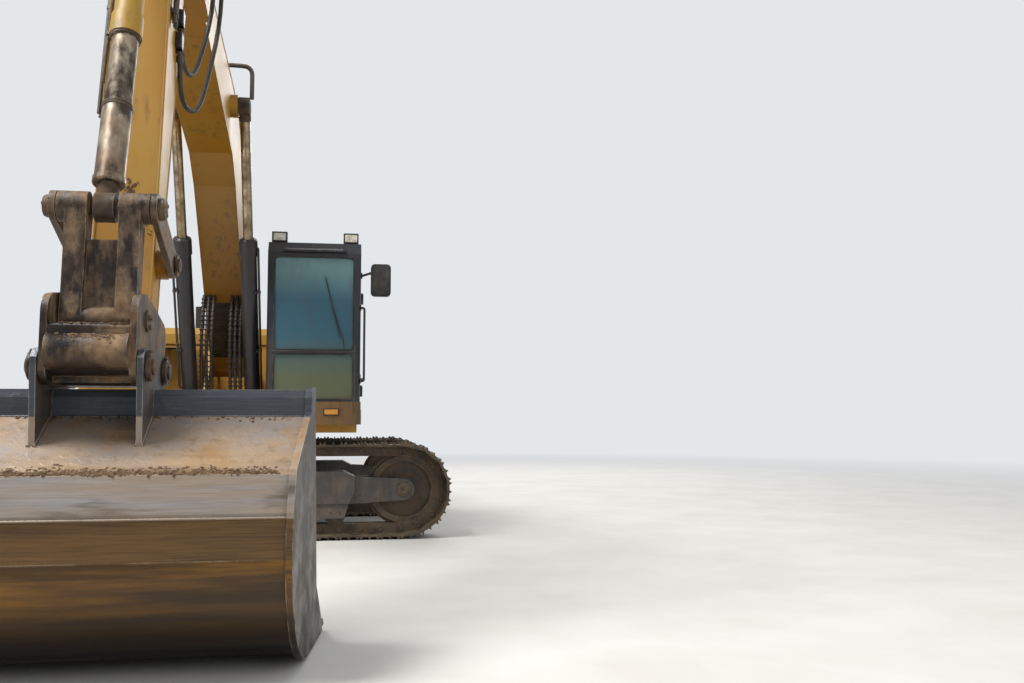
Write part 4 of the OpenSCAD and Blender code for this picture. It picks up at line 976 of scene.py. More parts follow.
def clamp(place, radius, height):
    """Pipe saddle: a strap over a pipe along the first axis, with two flat feet and a bolt in each."""
    r = radius + 0.004
    arch = [(r * 1.2 * math.cos(a), height + r * 1.2 * math.sin(a)) for a in (2.9, 2.2, 1.57, 0.94, 0.24)]
    outline = [(-3.2 * r, 0), (-3.2 * r, 0.005), (-1.25 * r, 0.005), *arch]
    outline += [(1.25 * r, 0.005), (3.2 * r, 0.005), (3.2 * r, 0)]
    strap = start("circle", "strap", vertices=len(outline), radius=1, fill_type="NGON")
    for vertex, (y, z) in zip(strap.data.vertices, outline):
        vertex.co = (-0.015, y, z)
    modify(strap, "SOLIDIFY", thickness=0.03, offset=0)
    tidy_skin(strap)
    feet = [Matrix.Translation((-0.015, side * 2.3 * r, 0.005)) for side in SIDES]
    saddle = joined("saddle", [strap, copies("heads", bolt_head(0.008), feet)])
    saddle.data.transform(place)
    return saddle


def flat_on(frame_, point, up):
    """Place at a local point of a frame: its first axis stays ahead, its third looks along up."""
    up = Vector(up).normalized()
    across = up.cross(Vector((1, 0, 0))).normalized()
    ahead = across.cross(up).normalized()
    turn = Matrix((ahead, across, up)).transposed().to_4x4()
    return frame_ @ Matrix.Translation(point) @ turn


def barrel_pipe(name, frame_, barrel, length, lean, body, finish, radius=0.013, into=None):
    """Steel pipe from a port near the foot to the gland, held by saddles round the barrel."""
    out = Vector((0, math.sin(lean), math.cos(lean)))
    away = barrel + radius + 0.012
    first, end = 0.25, length - 0.06
    corners = [(first, barrel - 0.01), (first, away), (end, away), (end, into or barrel)]
    corners = [frame_ @ (Vector((x, 0, 0)) + out * height) for x, height in corners]
    put(bent_tube(name, corners, 0.04, radius), finish, body)
    saddles = []
    count = max(2, int((end - first) / 0.55))
    for i in range(count):
        x = first + (end - first) * (i + 0.7) / (count + 0.4)
        place = flat_on(frame_, Vector((x, 0, 0)) + out * (barrel - 0.002), out)
        saddles.append(clamp(place, radius, away - barrel))
    put_all(name + "_clamps", saddles, "pipe", body)


class EXCAVATOR_OT_cylinders(bpy.types.Operator):
    """Glands, pipes, saddles and rod guard of the hydraulic cylinders"""

    bl_idname = "excavator.cylinders"
    bl_label = "Cylinders"

    def execute(self, context):
        for side, tag in TAGGED_SIDES:
            place = Matrix.Translation((0, side * 0.335, 0)) @ BOOM_BARREL
            gland("boom_gland_" + tag, place, 1.95, 0.05, 0.084, "boom_barrels", "black")
            barrel_pipe("boom_barrel_pipe_" + tag, place, 0.084, 1.95, side * 1.9, "boom_barrels", "black")
        gland("stick_gland", STICK_BARREL, 2.0, 0.052, 0.09, "stick_barrel", "pipe")
        barrel_pipe("stick_barrel_pipe", STICK_BARREL, 0.09, 2.0, 0.7, "stick_barrel", "yellow")
        gland("bucket_gland", BUCKET_BARREL, 1.6, 0.052, 0.084, "bucket_barrel", "rusty")
        body, radius, port = "bucket_barrel", 0.011, 0.099
        barrel_pipe("bucket_barrel_pipe", BUCKET_BARREL, 0.084, 1.98, -1.75, body, "rusty", radius, port)
        # tube that guides the rod beyond its gland, and the guard that slides over it from the rod's eye
        guide = [(1.625, 0.055), (1.625, 0.078), (2.105, 0.078), (2.118, 0.072), (2.118, 0.055)]
        guard = [(-0.688, 0.0792), (-0.688, 0.0845), (-0.67, 0.0845), (-0.19, 0.0845), (-0.185, 0.091)]
        guard += [(-0.155, 0.091), (-0.145, 0.08), (-0.145, 0.054), (-0.17, 0.054), (-0.20, 0.0792)]
        band = [(-0.684, 0.0835), (-0.684, 0.0885), (-0.656, 0.0885), (-0.656, 0.0835)]
        put(turned("bucket_rod_guide", guide, BUCKET_BARREL, 40), "scoured", "bucket_barrel")
        reach = (KNUCKLE - pin("bucket_barrel_tilt")).length
        eye = BUCKET_BARREL @ Matrix.Translation((reach, 0, 0))
        put(turned("bucket_rod_guard", guard, eye, 40), "scoured", "bucket_rod")
        put(turned("bucket_guard_band", band, eye, 40), "rusty", "bucket_rod")
        return {"FINISHED"}


# Corners of the boom's back in its own frame, from its foot to its tip, and the four pipes that lie on it
BOOM_BACK = ((-0.05, 0.158), (2.05, 1.35), (2.6, 1.47), (3.2, 1.33), (6.23, 0.148))
OUTER_LANE, INNER_LANE = 0.12, 0.07
PIPE_LIFT = 0.023
# How far out the pipes on the stick's flanks lie, and their heights
STICK_LANE = 0.205
STICK_PIPE_HEIGHTS = (0.12, 0.17)


def boom_top(x):
    """Height of the boom's top in its own frame."""
    for (x0, z0), (x1, z1) in zip(BOOM_BACK, BOOM_BACK[1:]):
        if x < x1:
            break
    return z0 + (x - x0) * (z1 - z0) / (x1 - x0)


def on_boom(x, y, lift):
    """Point over the boom's back."""
    return at(BOOM, x, y, boom_top(x) + lift)


def forged_block(name, frame_, low, high, body):
    """Block between two corners of a frame that takes a hose end from behind."""
    core = block(name, low, high, 0.008)
    core.data.transform(frame_)
    put(core, "black", body)


def eased_hose(names, way, radius, bodies, count=32):
    """Hose eased along a way with a swaged end on each body; names are of the hose and of its two ends."""
    hose(names[0], eased_line(way, count), radius)
    hose_end(names[1], way[0], way[1], radius, bodies[0])
    hose_end(names[2], way[-1], way[-2], radius, bodies[1])


class EXCAVATOR_OT_plumbing(bpy.types.Operator):
    """Steel pipes, saddles and hanging hoses of the boom and stick"""

    bl_idname = "excavator.plumbing"
    bl_label = "Plumbing"

    def execute(self, context):
        boom_pipes()
        stick_cylinder_hoses()
        stick_hoses()
        stick_pipes()
        bucket_cylinder_hoses()
        boom_guards_and_shade_mat()
        boom_foot_hoses()
        return {"FINISHED"}


def boom_pipes():
    """Four pipes on the boom's back, the inner two for the stick cylinder, and their saddles."""
    inner, outer = (1.90, 2.05, 2.6, 3.05), (1.90, 2.05, 2.6, 3.2, 4.2, 5.2)
    lanes = (-OUTER_LANE, -INNER_LANE, INNER_LANE, OUTER_LANE)
    pipes, saddles = [], []
    for y in lanes:
        stations = outer if abs(y) == OUTER_LANE else inner
        pipes.append(bent_tube("pipe", [on_boom(x, y, PIPE_LIFT) for x in stations], 0.12, 0.017))
    put_all("boom_top_pipes", pipes, "pipe", "boom")
    for x in (0.95, 1.45, 1.85, 2.3, 2.9, 3.7, 4.3, 4.9):
        slope = (boom_top(x + 0.05) - boom_top(x - 0.05)) / 0.1
        for y in lanes if x < inner[-1] else (-OUTER_LANE, OUTER_LANE):
            place = flat_on(BOOM, Vector((x, y, boom_top(x) + 0.001)), (-slope, 0, 1))
            saddles.append(clamp(place, 0.013, PIPE_LIFT - 0.002))
    put_all("boom_pipe_saddles", saddles, "pipe", "boom")


def stick_cylinder_hoses():
    """Two hoses from the pipes on the boom's back to the stick cylinder."""
    for side, tag in TAGGED_SIDES:
        begin = on_boom(3.05, side * INNER_LANE, PIPE_LIFT)
        along, block_y = 0.30 if side > 0 else 0.36, side * 0.110
        port = at(STICK_BARREL, along, side * 0.112, 0.02)
        rise = begin + BOOM.to_3x3() @ Vector((0.12, 0, 0.02))
        middle = begin.lerp(port, 0.45) + Vector((0, side * 0.05, 0.20))
        way = [begin, rise, middle, at(STICK_BARREL, along - 0.16, side * 0.122, 0.06), port]
        hose("stick_cylinder_hose_" + tag, eased_line(way), 0.016)
        hose_end("stick_cylinder_fitting_" + tag, port, way[-2], 0.016, "stick_barrel")
        hose_end("boom_pipe_fitting_" + tag, begin, rise, 0.016, "boom")
        low, high = (along - 0.008, block_y - 0.034, -0.01), (along + 0.06, block_y + 0.034, 0.05)
        forged_block("stick_cylinder_port_" + tag, STICK_BARREL, low, high, "stick_barrel")


def stick_hoses():
    """Two hoses on each side that hang from the boom's flank to the stick, round its pin."""
    # for each hose: start on the boom, how deep it hangs, end on the stick, and how far out it runs
    hangs = ((5.25, 0.02, 0.92, 0.285), (5.10, 0.12, 1.10, 0.325))
    kinds = ("stick_hose", "boom_hose_fitting", "stick_hose_fitting")
    for side, tag in TAGGED_SIDES:
        for number, (x, sink, reach, y) in enumerate(hangs, 1):
            top = boom_top(x)
            drop = [(0, OUTER_LANE, top + PIPE_LIFT), (0.12, OUTER_LANE, top + PIPE_LIFT - 0.03)]
            drop += [(0.26, 0.16, top - 0.01), (0.34, 0.27, top - 0.06), (0.35, y + 0.02, top - 0.22)]
            drop += [(0.25, y + 0.03, top - 0.42), (0.13, y + 0.02, -0.12)]
            loop = [(-0.50, y - 0.23, -0.03 - sink), (-0.33, y - 0.25, -0.20 - sink)]
            loop += [(-0.17, 0.01, -0.215 - sink), (-0.07, 0, -0.14 - 0.7 * sink)]
            loop += [(-0.03, 0, -0.06), (0, 0, 0)]
            end = at(STICK, reach, side * 0.203, -0.10)
            way = [at(BOOM, x + dx, side * across, z) for dx, across, z in drop]
            way += [end + Vector((dx, side * across, dz)) for dx, across, dz in loop]
            names = [f"{kind}_{tag}_{number}" for kind in kinds]
            eased_hose(names, way, 0.017, ("boom", "stick"), 40)
            low, high = (reach - 0.13, side * 0.2 - 0.026, -0.11), (reach - 0.02, side * 0.2 + 0.026, -0.03)
            forged_block(f"stick_hose_block_{tag}_{number}", STICK, low, high, "stick")


def stick_pipes():
    """Two pipes down each flank of the stick, and their saddles."""
    for side, tag in TAGGED_SIDES:
        pipes, saddles = [], []
        for z in STICK_PIPE_HEIGHTS:
            corners = [at(STICK, x, side * STICK_LANE, z) for x in (0.32, 1.05 if side > 0 else 1.75)]
            pipes.append(tube("pipe", corners, 0.015))
        put_all("stick_pipes_" + tag, pipes, "pipe", "stick")
        for x in (0.42, 0.72, 0.98):
            for z in STICK_PIPE_HEIGHTS:
                place = flat_on(STICK, Vector((x, side * 0.181, z)), (0, side, 0))
                saddles.append(clamp(place, 0.011, 0.024))
        put_all("stick_pipe_saddles_" + tag, saddles, "pipe", "stick")


def bucket_cylinder_hoses():
    """Hoses from the stick's pipes round to the bucket cylinder's foot."""
    for side, tag in TAGGED_SIDES:
        way = [(0.33, STICK_LANE, 0.17), (0.18, STICK_LANE, 0.17), (0.0, 0.215, 0.17)]
        way += [(-0.17, 0.215, 0.20), (-0.22, STICK_LANE, 0.36), (-0.12, 0.17, 0.463)]
        way = [at(STICK, x, side * across, z) for x, across, z in way]
        way += [at(BUCKET_BARREL, x, side * across, 0) for x, across in ((0.15, 0.112), (0.30, 0.106))]
        names = ("bucket_cylinder_hose_" + tag, "stick_pipe_fitting_" + tag, "bucket_cylinder_fitting_" + tag)
        eased_hose(names, way, 0.015, ("stick", "bucket_barrel"))
        low, high = (0.292, side * 0.104 - 0.034, -0.03), (0.36, side * 0.104 + 0.034, 0.03)
        forged_block("bucket_cylinder_port_" + tag, BUCKET_BARREL, low, high, "bucket_barrel")


def boom_guards_and_shade_mat():
    """Guard pipes over the boom cylinders' rod eyes, and a dark rubber mat under the boom's foot that stands
    in for the shade there.
    """
    guards = []
    up = BOOM_ROD_EYE.z + 0.40
    for side in SIDES:
        base, y = on_boom(3.45, side * 0.14, -0.01), side * 0.405
        corners = [base, (base.x, base.y, up), (base.x - 0.02, y, up)]
        corners.append((BOOM_ROD_EYE.x + 0.03, y, BOOM_ROD_EYE.z + 0.07))
        guards.append(bent_tube("guard", corners, 0.09, 0.022, sides=3))
    put_all("boom_grease_pipes", guards, "pipe", "boom")
    # the mat is ribbed and bolted on, a dark sheet that stands in for the shade under the boom's foot, behind
    # the hoses
    mat = block("mat", (0, -0.198, -0.014), (0.80, 0.198, 0.0), 0.003)
    steps = [0.05 + 0.1 * i for i in range(8)]
    ribs = [block("rib", (x, -0.19, -0.020), (x + 0.02, 0.19, -0.012), 0.003) for x in steps]
    mat = joined("boom_foot_shade_mat", [mat, *ribs])
    under = BOOM @ Matrix.Translation((0.28, 0, -0.0815)) @ Matrix.Rotation(-math.atan2(0.804, 2.48), 4, "Y")
    mat.data.transform(under)
    put(mat, "rubber", "boom")
    down = under.to_3x3() @ -UP
    places = [(at(under, x, y, -0.014), down) for x in (0.02, 0.4, 0.78) for y in (-0.17, 0.17)]
    bolts("boom_mat_bolts", places, 0.010, "boom")


def boom_foot_hoses():
    """Three hoses in spring guards on each side, from the deck's nose to the boom's underside."""
    radius, bodies = 0.018, ("upper", "boom")
    for side, tag in TAGGED_SIDES:
        for lane in range(3):
            y = side * (0.10 + 0.054 * lane)
            begin, end = Vector((1.045, y, 1.32)), at(BOOM, 1.14, y, 0.199)
            way = [begin, begin + Vector((0.05, 0, 0.20)), (1.20, y, 1.80), (1.255, y, 2.15), (1.22, y, 2.42)]
            way += [end + Vector((0.03, 0, -0.08)), end]
            name = f"boom_foot_hose_{tag}_{lane + 1}"
            hose(name, smooth_line(way, 6), radius)
            hose_fitting(name + "_low_collar", COLLAR, looking(begin, way[1] - begin), radius, "upper")
            guard_rings(name + "_guard", way, radius)


class EXCAVATOR_OT_arm_edges(bpy.types.Operator):
    """Weld beads, edge strips and grease nipples of the boom and stick, and dried mud on the stick's front"""

    bl_idname = "excavator.arm_edges"
    bl_label = "Arm edges"

    def execute(self, context):
        under = [(0.35, -0.058), (2.5, 0.64), (2.95, 0.69), (5.9, -0.074)]
        back = [(0.35, 0.385), (2.05, 1.35), (2.6, 1.47), (3.2, 1.33), (5.9, 0.277)]
        front = [(0.42, 0.294), (2.6, 0.128), (3.08, 0.119)]
        rear = [(0.7, -0.238), (2.7, -0.111), (3.08, -0.117)]
        beads, strips = [], []
        for side in SIDES:
            for line in (under, back):
                beads.append(weld([at(BOOM, x, side * 0.205, z) for x, z in line], 0.006, 7))
            strips.append(tube("strip", [at(STICK, x, side * 0.178, z) for x, z in front], 0.009))
            strips.append(weld([at(STICK, x, side * 0.180, z) for x, z in rear], 0.006, 9))
        put_all("boom_welds", beads, "yellow", "boom", 60)
        put_all("stick_edges", strips, "yellow", "stick", 60)
        rng = random.Random(23)
        spots = []
        normal = STICK.to_3x3() @ Vector((0.076, 0, 0.997))
        for _ in range(64):
            # clods that dried low on the plate that faces the digging, most of them by its left corner
            x = rng.choice((rng.gauss(2.38, 0.12), rng.gauss(2.26, 0.03)))
            y = rng.gauss(0.145, 0.018) if x > 2.3 else rng.gauss(0.02, 0.02)
            if abs(y) > 0.165 or x > 2.9:
                continue
            z = 0.300 - (x - 0.33) * 0.0758
            spots.append((at(STICK, x, y, z), normal, rng.uniform(0.003, 0.011)))
        crumbs("stick_mud", "stick", spots, 51)
        nipple = [(-0.004, 0.002), (-0.004, 0.008), (0.006, 0.008)]
        nipple += [(0.008, 0.005), (0.016, 0.005), (0.018, 0.002)]
        for name, body, frame_, spots in (
            ("boom_grease_nipples", "boom", BOOM, ((6.17, 0.262, 0.0),)),
            ("arm_grease_nipples", "stick", STICK, ((2.70, 0.247, 0.05), (3.2, 0.201, 0.06))),
        ):
            places = [frame_ @ sideways((x, side * y, z), side) for x, y, z in spots for side in SIDES]
            put_all(name, [turned("nipple", nipple, place, 10) for place in places], "pins", body)
        return {"FINISHED"}


# Cab


def glass_x(z):
    """The cab's front face at a height."""
    return 1.750 if z < 2.03 else 1.750 - (z - 2.03) * 0.0826


def seal(name, corners, radius=0.009, bend=0.05):
    """Rubber profile round a window or door."""
    return tube(name, rounded_line(corners, bend, 4, closed=True), radius, closed=True)


def side_rectangle(y, x0, x1, z0, z1):
    """Corners of an upright rectangle along the machine."""
    return [(x0, y, z0), (x1, y, z0), (x1, y, z1), (x0, y, z1)]


def cross_rectangle(x, y0, y1, z0, z1):
    """Corners of an upright rectangle across the machine."""
    return [(x, y0, z0), (x, y1, z0), (x, y1, z1), (x, y0, z1)]


class EXCAVATOR_OT_cab(bpy.types.Operator):
    """Window seals, wiper, handles, lamps, mirror glass and roof hatch of the cab"""

    bl_idname = "excavator.cab"
    bl_label = "Cab"

    def execute(self, context):
        seals = []
        for z0, z1 in ((2.052, 3.070), (1.520, 2.008)):
            corners = cross_rectangle(0, 0.595, 1.445, z0, z1)
            seals.append(seal("seal", [(glass_x(z) - 0.006, y, z) for _, y, z in corners]))
        seals.append(seal("seal", side_rectangle(0.526, 0.110, 1.480, 2.150, 3.070)))
        seals.append(seal("seal", side_rectangle(1.514, 0.030, 0.530, 2.150, 3.070)))
        seals.append(seal("seal", cross_rectangle(-0.094, 0.650, 1.390, 2.230, 3.070)))
        put_all("cab_window_seals", seals, "rubber", "upper", 60)
        door_seal = seal("door_window_seal", side_rectangle(1.514, 0.720, 1.520, 1.890, 2.990))
        put(door_seal, "rubber", "cab_door", 60)
        # glazing bar between the two front panes
        put(block("cab_glazing_bar", (1.728, 0.575, 2.014), (1.757, 1.465, 2.046), 0.006), "navy", "upper")
        cab_wiper()
        cab_handles()
        cab_lamps_and_mirror()
        cab_roof_and_screen()
        return {"FINISHED"}


def cab_wiper():
    """Parked wiper: spindle, cranked arm, blade holder and blade."""
    outline = [(0, 0.004), (0, 0.018), (0.02, 0.018), (0.026, 0.012), (0.026, 0.004)]
    spindle = turned("spindle", outline, Matrix.Translation((1.738, 1.35, 2.03)), 16)
    arm = bent_tube("arm", [(1.76, 1.35, 2.03), (1.752, 1.33, 2.2), (1.735, 1.22, 2.52)], 0.05, 0.006)
    line = [(glass_x(z) - 0.006, 1.30 - (z - 2.2) * 0.25, z) for z in (2.2, 2.4, 2.6, 2.85)]
    holder = tube("holder", line, 0.005)
    blade = block("blade", (-0.006, -0.004, 0), (0.004, 0.004, 0.66), 0.0015)
    lean = Matrix.Rotation(-0.0824, 4, "Y") @ Matrix.Rotation(0.245, 4, "X")
    blade.data.transform(Matrix.Translation((glass_x(2.2) - 0.014, 1.30, 2.2)) @ lean)
    put_all("cab_wiper", [spindle, arm, holder, blade], "black", "upper")


def cab_handles():
    """Grab rail beside the door, and the door's own handle in its recess."""
    corners = [(1.675, 1.51, 1.72), (1.675, 1.56, 1.72), (1.66, 1.56, 2.52), (1.66, 1.51, 2.52)]
    rail = bent_tube("rail", corners, 0.035, 0.013, sides=3)
    feet = [block("foot", (1.648, 1.518, z - 0.03), (1.70, 1.526, z + 0.03), 0.002) for z in (1.72, 2.52)]
    put_all("cab_grab_rail", [rail, *feet], "black", "upper")
    case = block("case", (1.40, 1.518, 1.70), (1.56, 1.530, 1.80), 0.006)
    pressed(case, lambda middle, normal: normal.y > 0.9 and middle.y > 1.529, (0.014, (0, -0.008, 0)))
    corners = [(1.42, 1.522, 1.75), (1.43, 1.548, 1.75), (1.53, 1.548, 1.75), (1.54, 1.530, 1.75)]
    lever = bent_tube("lever", corners, 0.012, 0.008)
    put_all("cab_door_handle", [case, lever], "plastic", "cab_door")


def cab_lamps_and_mirror():
    """Ribbed lenses and bezels of the work lamps, the amber marker lamp and the mirror's glass."""
    lenses, bezels = [], []
    for y0, y1 in ((0.550, 0.715), (1.325, 1.490)):
        lenses.append(block("lens", (1.515, y0 + 0.014, 3.266), (1.529, y1 - 0.014, 3.350), 0.005))
        bezels.append(seal("bezel", cross_rectangle(1.526, y0 + 0.01, y1 - 0.01, 3.262, 3.354), 0.006, 0.02))
    put_all("cab_lamp_lenses", lenses, "lamp", "upper")
    put_all("cab_lamp_bezels", bezels, "plastic", "upper")
    put(block("base", (1.762, 1.13, 1.345), (1.772, 1.302, 1.423)), "plastic", "upper")
    dome = block("cab_marker_lens", (1.768, 1.143, 1.356), (1.786, 1.289, 1.412))
    pressed(dome, lambda middle, normal: normal.x > 0.9, (0.012, (0.006, 0, 0)))
    put(dome, "amber", "upper")
    put(block("mirror_glass", (1.7965, 1.632, 2.645), (1.800, 1.823, 2.965), 0.0012), "mirror", "upper")


def cab_roof_and_screen():
    """Roof hatch with its rolled edge and handle, and the screen on a bracket by the right front pillar."""
    hatch = block("hatch", (0.32, 0.70, 3.238), (1.08, 1.34, 3.262), 0.008)
    pressed(hatch, looks_up, (0.05, (0, 0, 0.012)))
    corners = [(0.98, 0.95, 3.27), (0.98, 0.95, 3.30), (0.98, 1.09, 3.30), (0.98, 1.09, 3.27)]
    put_all("cab_roof_hatch", [hatch, bent_tube("grip", corners, 0.012, 0.007)], "navy", "upper")
    screen = block("screen", (1.40, 0.60, 1.98), (1.43, 0.82, 2.13), 0.008)
    pressed(screen, lambda middle, normal: normal.x < -0.9, (0.012, (0.004, 0, 0)))
    stalk = bent_tube("stalk", [(1.425, 0.66, 2.0), (1.50, 0.62, 1.9), (1.60, 0.56, 1.9)], 0.03, 0.012)
    put_all("cab_screen", [screen, stalk], "plastic", "upper")


def cushion(name, low, high, crown, channels):
    """Sewn cushion: a crowned closed form with piped seams pressed in between its channels."""
    low, high = Vector(low), Vector(high)
    piece = box(name, low, high)
    whole(piece)
    bpy.ops.mesh.subdivide(number_cuts=11)
    bpy.ops.object.mode_set(mode="OBJECT")
    middle, half = (low + high) / 2, (high - low) / 2
    for vertex in piece.data.vertices:
        offset = vertex.co - middle
        u, v = offset.x / half.x, offset.y / half.y
        rise = crown * (1 - u**4) * (1 - v**4)
        # channels run along the cushion, each one seam deep
        rise -= 0.3 * crown * (1 - u**4) * max(0, math.cos(channels * math.pi * v)) ** 8 * (abs(v) < 0.95)
        if vertex.co.z > middle.z:
            vertex.co.z += rise
        squeeze = 1 - 0.04 * ((vertex.co.z - middle.z) / half.z) ** 2
        vertex.co.x = middle.x + offset.x * squeeze
        vertex.co.y = middle.y + offset.y * squeeze
    modify(piece, "SUBSURF", levels=1, render_levels=1)
    return piece


class EXCAVATOR_OT_seat(bpy.types.Operator):
    """Suspension seat: stuffed cushions on a bellows and rails, with a headrest on two posts"""

    bl_idname = "excavator.seat"
    bl_label = "Seat"

    def execute(self, context):
        base = cushion("seat_cushion", (0.285, 0.785, 1.735), (0.765, 1.255, 1.83), 0.022, 5)
        back = cushion("seat_back", (0.02, -0.225, -0.035), (0.56, 0.225, 0.045), 0.028, 5)
        head = cushion("seat_headrest", (0.60, -0.13, -0.03), (0.72, 0.13, 0.035), 0.018, 3)
        lean = Matrix.Translation((0.30, 1.02, 1.82)) @ Matrix.Rotation(math.radians(-98), 4, "Y")
        for piece in (back, head):
            piece.data.transform(lean @ Matrix.Diagonal((1, 1, -1, 1)))
            tidy_skin(piece)
        posts = [tube("post", [(0.28, y, 2.32), (0.215, y, 2.50)], 0.007) for y in (0.96, 1.08)]
        # bellows round the suspension: folds of rubber
        folds = [box("bellows", (0.34, 0.875, 1.41), (0.70, 1.165, 1.71))]
        for i in range(6):
            z = 1.435 + 0.05 * i
            corners = [(x, y, z) for x, y in ((0.335, 0.87), (0.705, 0.87), (0.705, 1.17), (0.335, 1.17))]
            folds.append(seal("fold", corners, 0.017))
        put_all("seat_bellows", folds + posts, "rubber", "upper", 60)
        pan = [block("rail", (0.30, y - 0.02, 1.375), (0.76, y + 0.02, 1.40)) for y in (0.90, 1.14)]
        pan.append(block("pan", (0.29, 0.80, 1.712), (0.75, 1.24, 1.738), 0.008))
        put_all("seat_pan", pan, "plastic", "upper")
        for piece in (base, back, head):
            put(piece, "cloth", "upper", 80)
        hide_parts("seat")
        return {"FINISHED"}


# House, tanks and deck


# How far out the side panels reach, and the radius of the counterweight's curve
PANEL_Y = 1.490
TAIL_RADIUS = 3.2
STUD_PITCH, STUD_MARGIN = 0.055, 0.045


def latch(x, z, side):
    """Recessed paddle latch on a side panel."""
    y = sorted((PANEL_Y * side, (PANEL_Y + 0.006) * side))
    plate = block("latch", (x - 0.06, y[0], z - 0.045), (x + 0.06, y[1], z + 0.045), 0.002)
    steps = ((0.012, (0, -0.004 * side, 0)), (0.012, (0, 0.005 * side, 0)))
    return pressed(plate, lambda middle, normal: normal.y * side > 0.9, *steps)


def lifting_eye(x, y, z):
    """Forged eye: a ring on a stem and collar."""
    sizes = {"major_radius": 0.045, "minor_radius": 0.014, "major_segments": 24, "minor_segments": 10}
    eye = start("torus", "eye", location=(x, y, z + 0.07), rotation=(math.pi / 2, 0, 0), **sizes)
    stem = [(0, 0.004), (0, 0.045), (0.012, 0.045), (0.016, 0.03), (0.03, 0.018), (0.03, 0.004)]
    return joined("eye", [eye, turned("stem", stem, upright((x, y, z)), 20)])


def anti_slip_plates():
    """Punched plates on the tanks, the locker and the step box."""
    plates, studs = [], []
    for x0, y0, x1, y1, z in (
        (-1.20, -1.42, -0.95, -0.42, 2.21),
        (-0.68, -1.42, -0.38, -0.42, 2.21),
        (-1.20, 0.62, -0.20, 1.42, 2.27),
        (-0.28, -1.0, 0.60, -0.46, 2.13),
    ):
        plates.append(block("plate", (x0, y0, z), (x1, y1, z + 0.005), 0.002))
        for i in range(int((x1 - x0 - 0.03) / STUD_PITCH)):
            for j in range(int((y1 - y0 - 0.03) / STUD_PITCH)):
                x, y = x0 + STUD_MARGIN + STUD_PITCH * i, y0 + STUD_MARGIN + STUD_PITCH * j
                studs.append(Matrix.Translation((x, y, z + 0.004)))
    sizes = {"radius1": 0.012, "radius2": 0.007, "depth": 0.006}
    stud = start("cone", "stud", vertices=8, location=(0, 0, 0.003), **sizes)
    put_all("anti_slip_plates", [*plates, copies("studs", stud, studs)], "grey", "upper")


def side_doors():
    """Gaps, latches and hinges of the side doors, and the joint between the hood and its housing."""
    gaps, latches, hinges = [], [], []
    hinge = [(-0.05, 0.003), (-0.05, 0.011), (0.05, 0.011), (0.05, 0.003)]
    doors = ((1, -2.24, -1.31, 1.37, 2.25), (1, -1.21, -0.19, 1.37, 2.22), (-1, -2.24, -1.31, 1.37, 2.25))
    for side, x0, x1, z0, z1 in doors:
        gaps.append(seal("gap", side_rectangle(side * (PANEL_Y - 0.0005), x0, x1, z0, z1), 0.004, 0.03))
        latches.append(latch(x0 + 0.10, 0.5 * (z0 + z1) - 0.32, side))
        for z in (z0 + 0.15, z1 - 0.15):
            hinges.append(turned("hinge", hinge, upright((x1 + 0.012, side * (PANEL_Y + 0.004), z)), 12))
    gaps += [tube("gap", [(x, side * 1.4505, 2.302) for x in (-2.28, -1.24)], 0.005) for side in SIDES]
    put_all("panel_gaps", gaps, "rubber", "upper", 60)
    put_all("panel_latches", latches, "black", "upper")
    put_all("panel_hinges", hinges, "yellow", "upper")


def tank_caps():
    """Filler cap with its bar, and the breather beside it."""
    cap = [(0.0, 0.003), (0.0, 0.078), (0.018, 0.078), (0.026, 0.072), (0.030, 0.060), (0.030, 0.003)]
    lid = turned("lid", cap, upright((0.12, -1.16, 2.189)), 28)
    bar = block("bar", (0.06, -1.172, 2.218), (0.18, -1.148, 2.236))
    mushroom = [(0, 0.003), (0, 0.035), (0.06, 0.035), (0.066, 0.05)]
    mushroom += [(0.10, 0.05), (0.11, 0.04), (0.11, 0.003)]
    breather = turned("breather", mushroom, upright((-0.80, -1.05, 2.21)), 24)
    put_all("tank_caps", [lid, bar, breather], "black", "upper")


class EXCAVATOR_OT_house(bpy.types.Operator):
    """Door gaps, latches, hinges, caps, lifting eyes, plates and bolts of the upper structure"""

    bl_idname = "excavator.house"
    bl_label = "House"

    def execute(self, context):
        side_doors()
        tank_caps()
        eyes = [lifting_eye(-2.72, side * 0.62, 2.33) for side in SIDES]
        put_all("counterweight_eyes", eyes, "grey", "upper", 50)
        anti_slip_plates()
        # feet of the handrails, and the exhaust's flange
        feet, places = [], []
        for x in (0.56, -0.20):
            feet.append(block("foot", (x - 0.055, -1.395, 2.130), (x + 0.055, -1.285, 2.140), 0.003))
            places += [((x + dx, -1.34 + dy, 2.140), UP) for dx in (-0.036, 0.036) for dy in (-0.036, 0.036)]
        flange = [(0, 0.058), (0, 0.10), (0.012, 0.10), (0.012, 0.058)]
        feet.append(turned("flange", flange, upright((-1.75, -0.62, 2.52)), 28))
        for angle in (0.78, 2.36, 3.93, 5.5):
            places.append(((-1.75 + 0.082 * math.cos(angle), -0.62 + 0.082 * math.sin(angle), 2.532), UP))
        put_all("rail_feet", feet, "black", "upper")
        # bolts of the hood's edge, the deck's nose, the cover's edges and the counterweight
        places += [((x, side * 1.40, 2.520), UP) for x in (-2.2, -1.76, -1.32) for side in SIDES]
        places += [((1.4805, y, 1.20), (1, 0, 0)) for y in (-1.40, -1.18, -0.96, -0.80)]
        places += [((x, side * 0.18, 1.950), UP) for x in (-1.20, -0.90, -0.60) for side in SIDES]
        x, y = -math.sqrt(TAIL_RADIUS**2 - 0.5**2), 0.5
        places += [((x, side * y, z), (x, side * y, 0)) for side in SIDES for z in (1.4, 2.1)]
        bolts("upper_bolts", places, 0.011, "upper", "black")
        # rolled edge of the step box
        put(tube("tread_noses", [(0.66, -1.47, 2.09), (0.66, -0.85, 2.09)], 0.008), "yellow", "upper", 60)
        return {"FINISHED"}


# Tracks


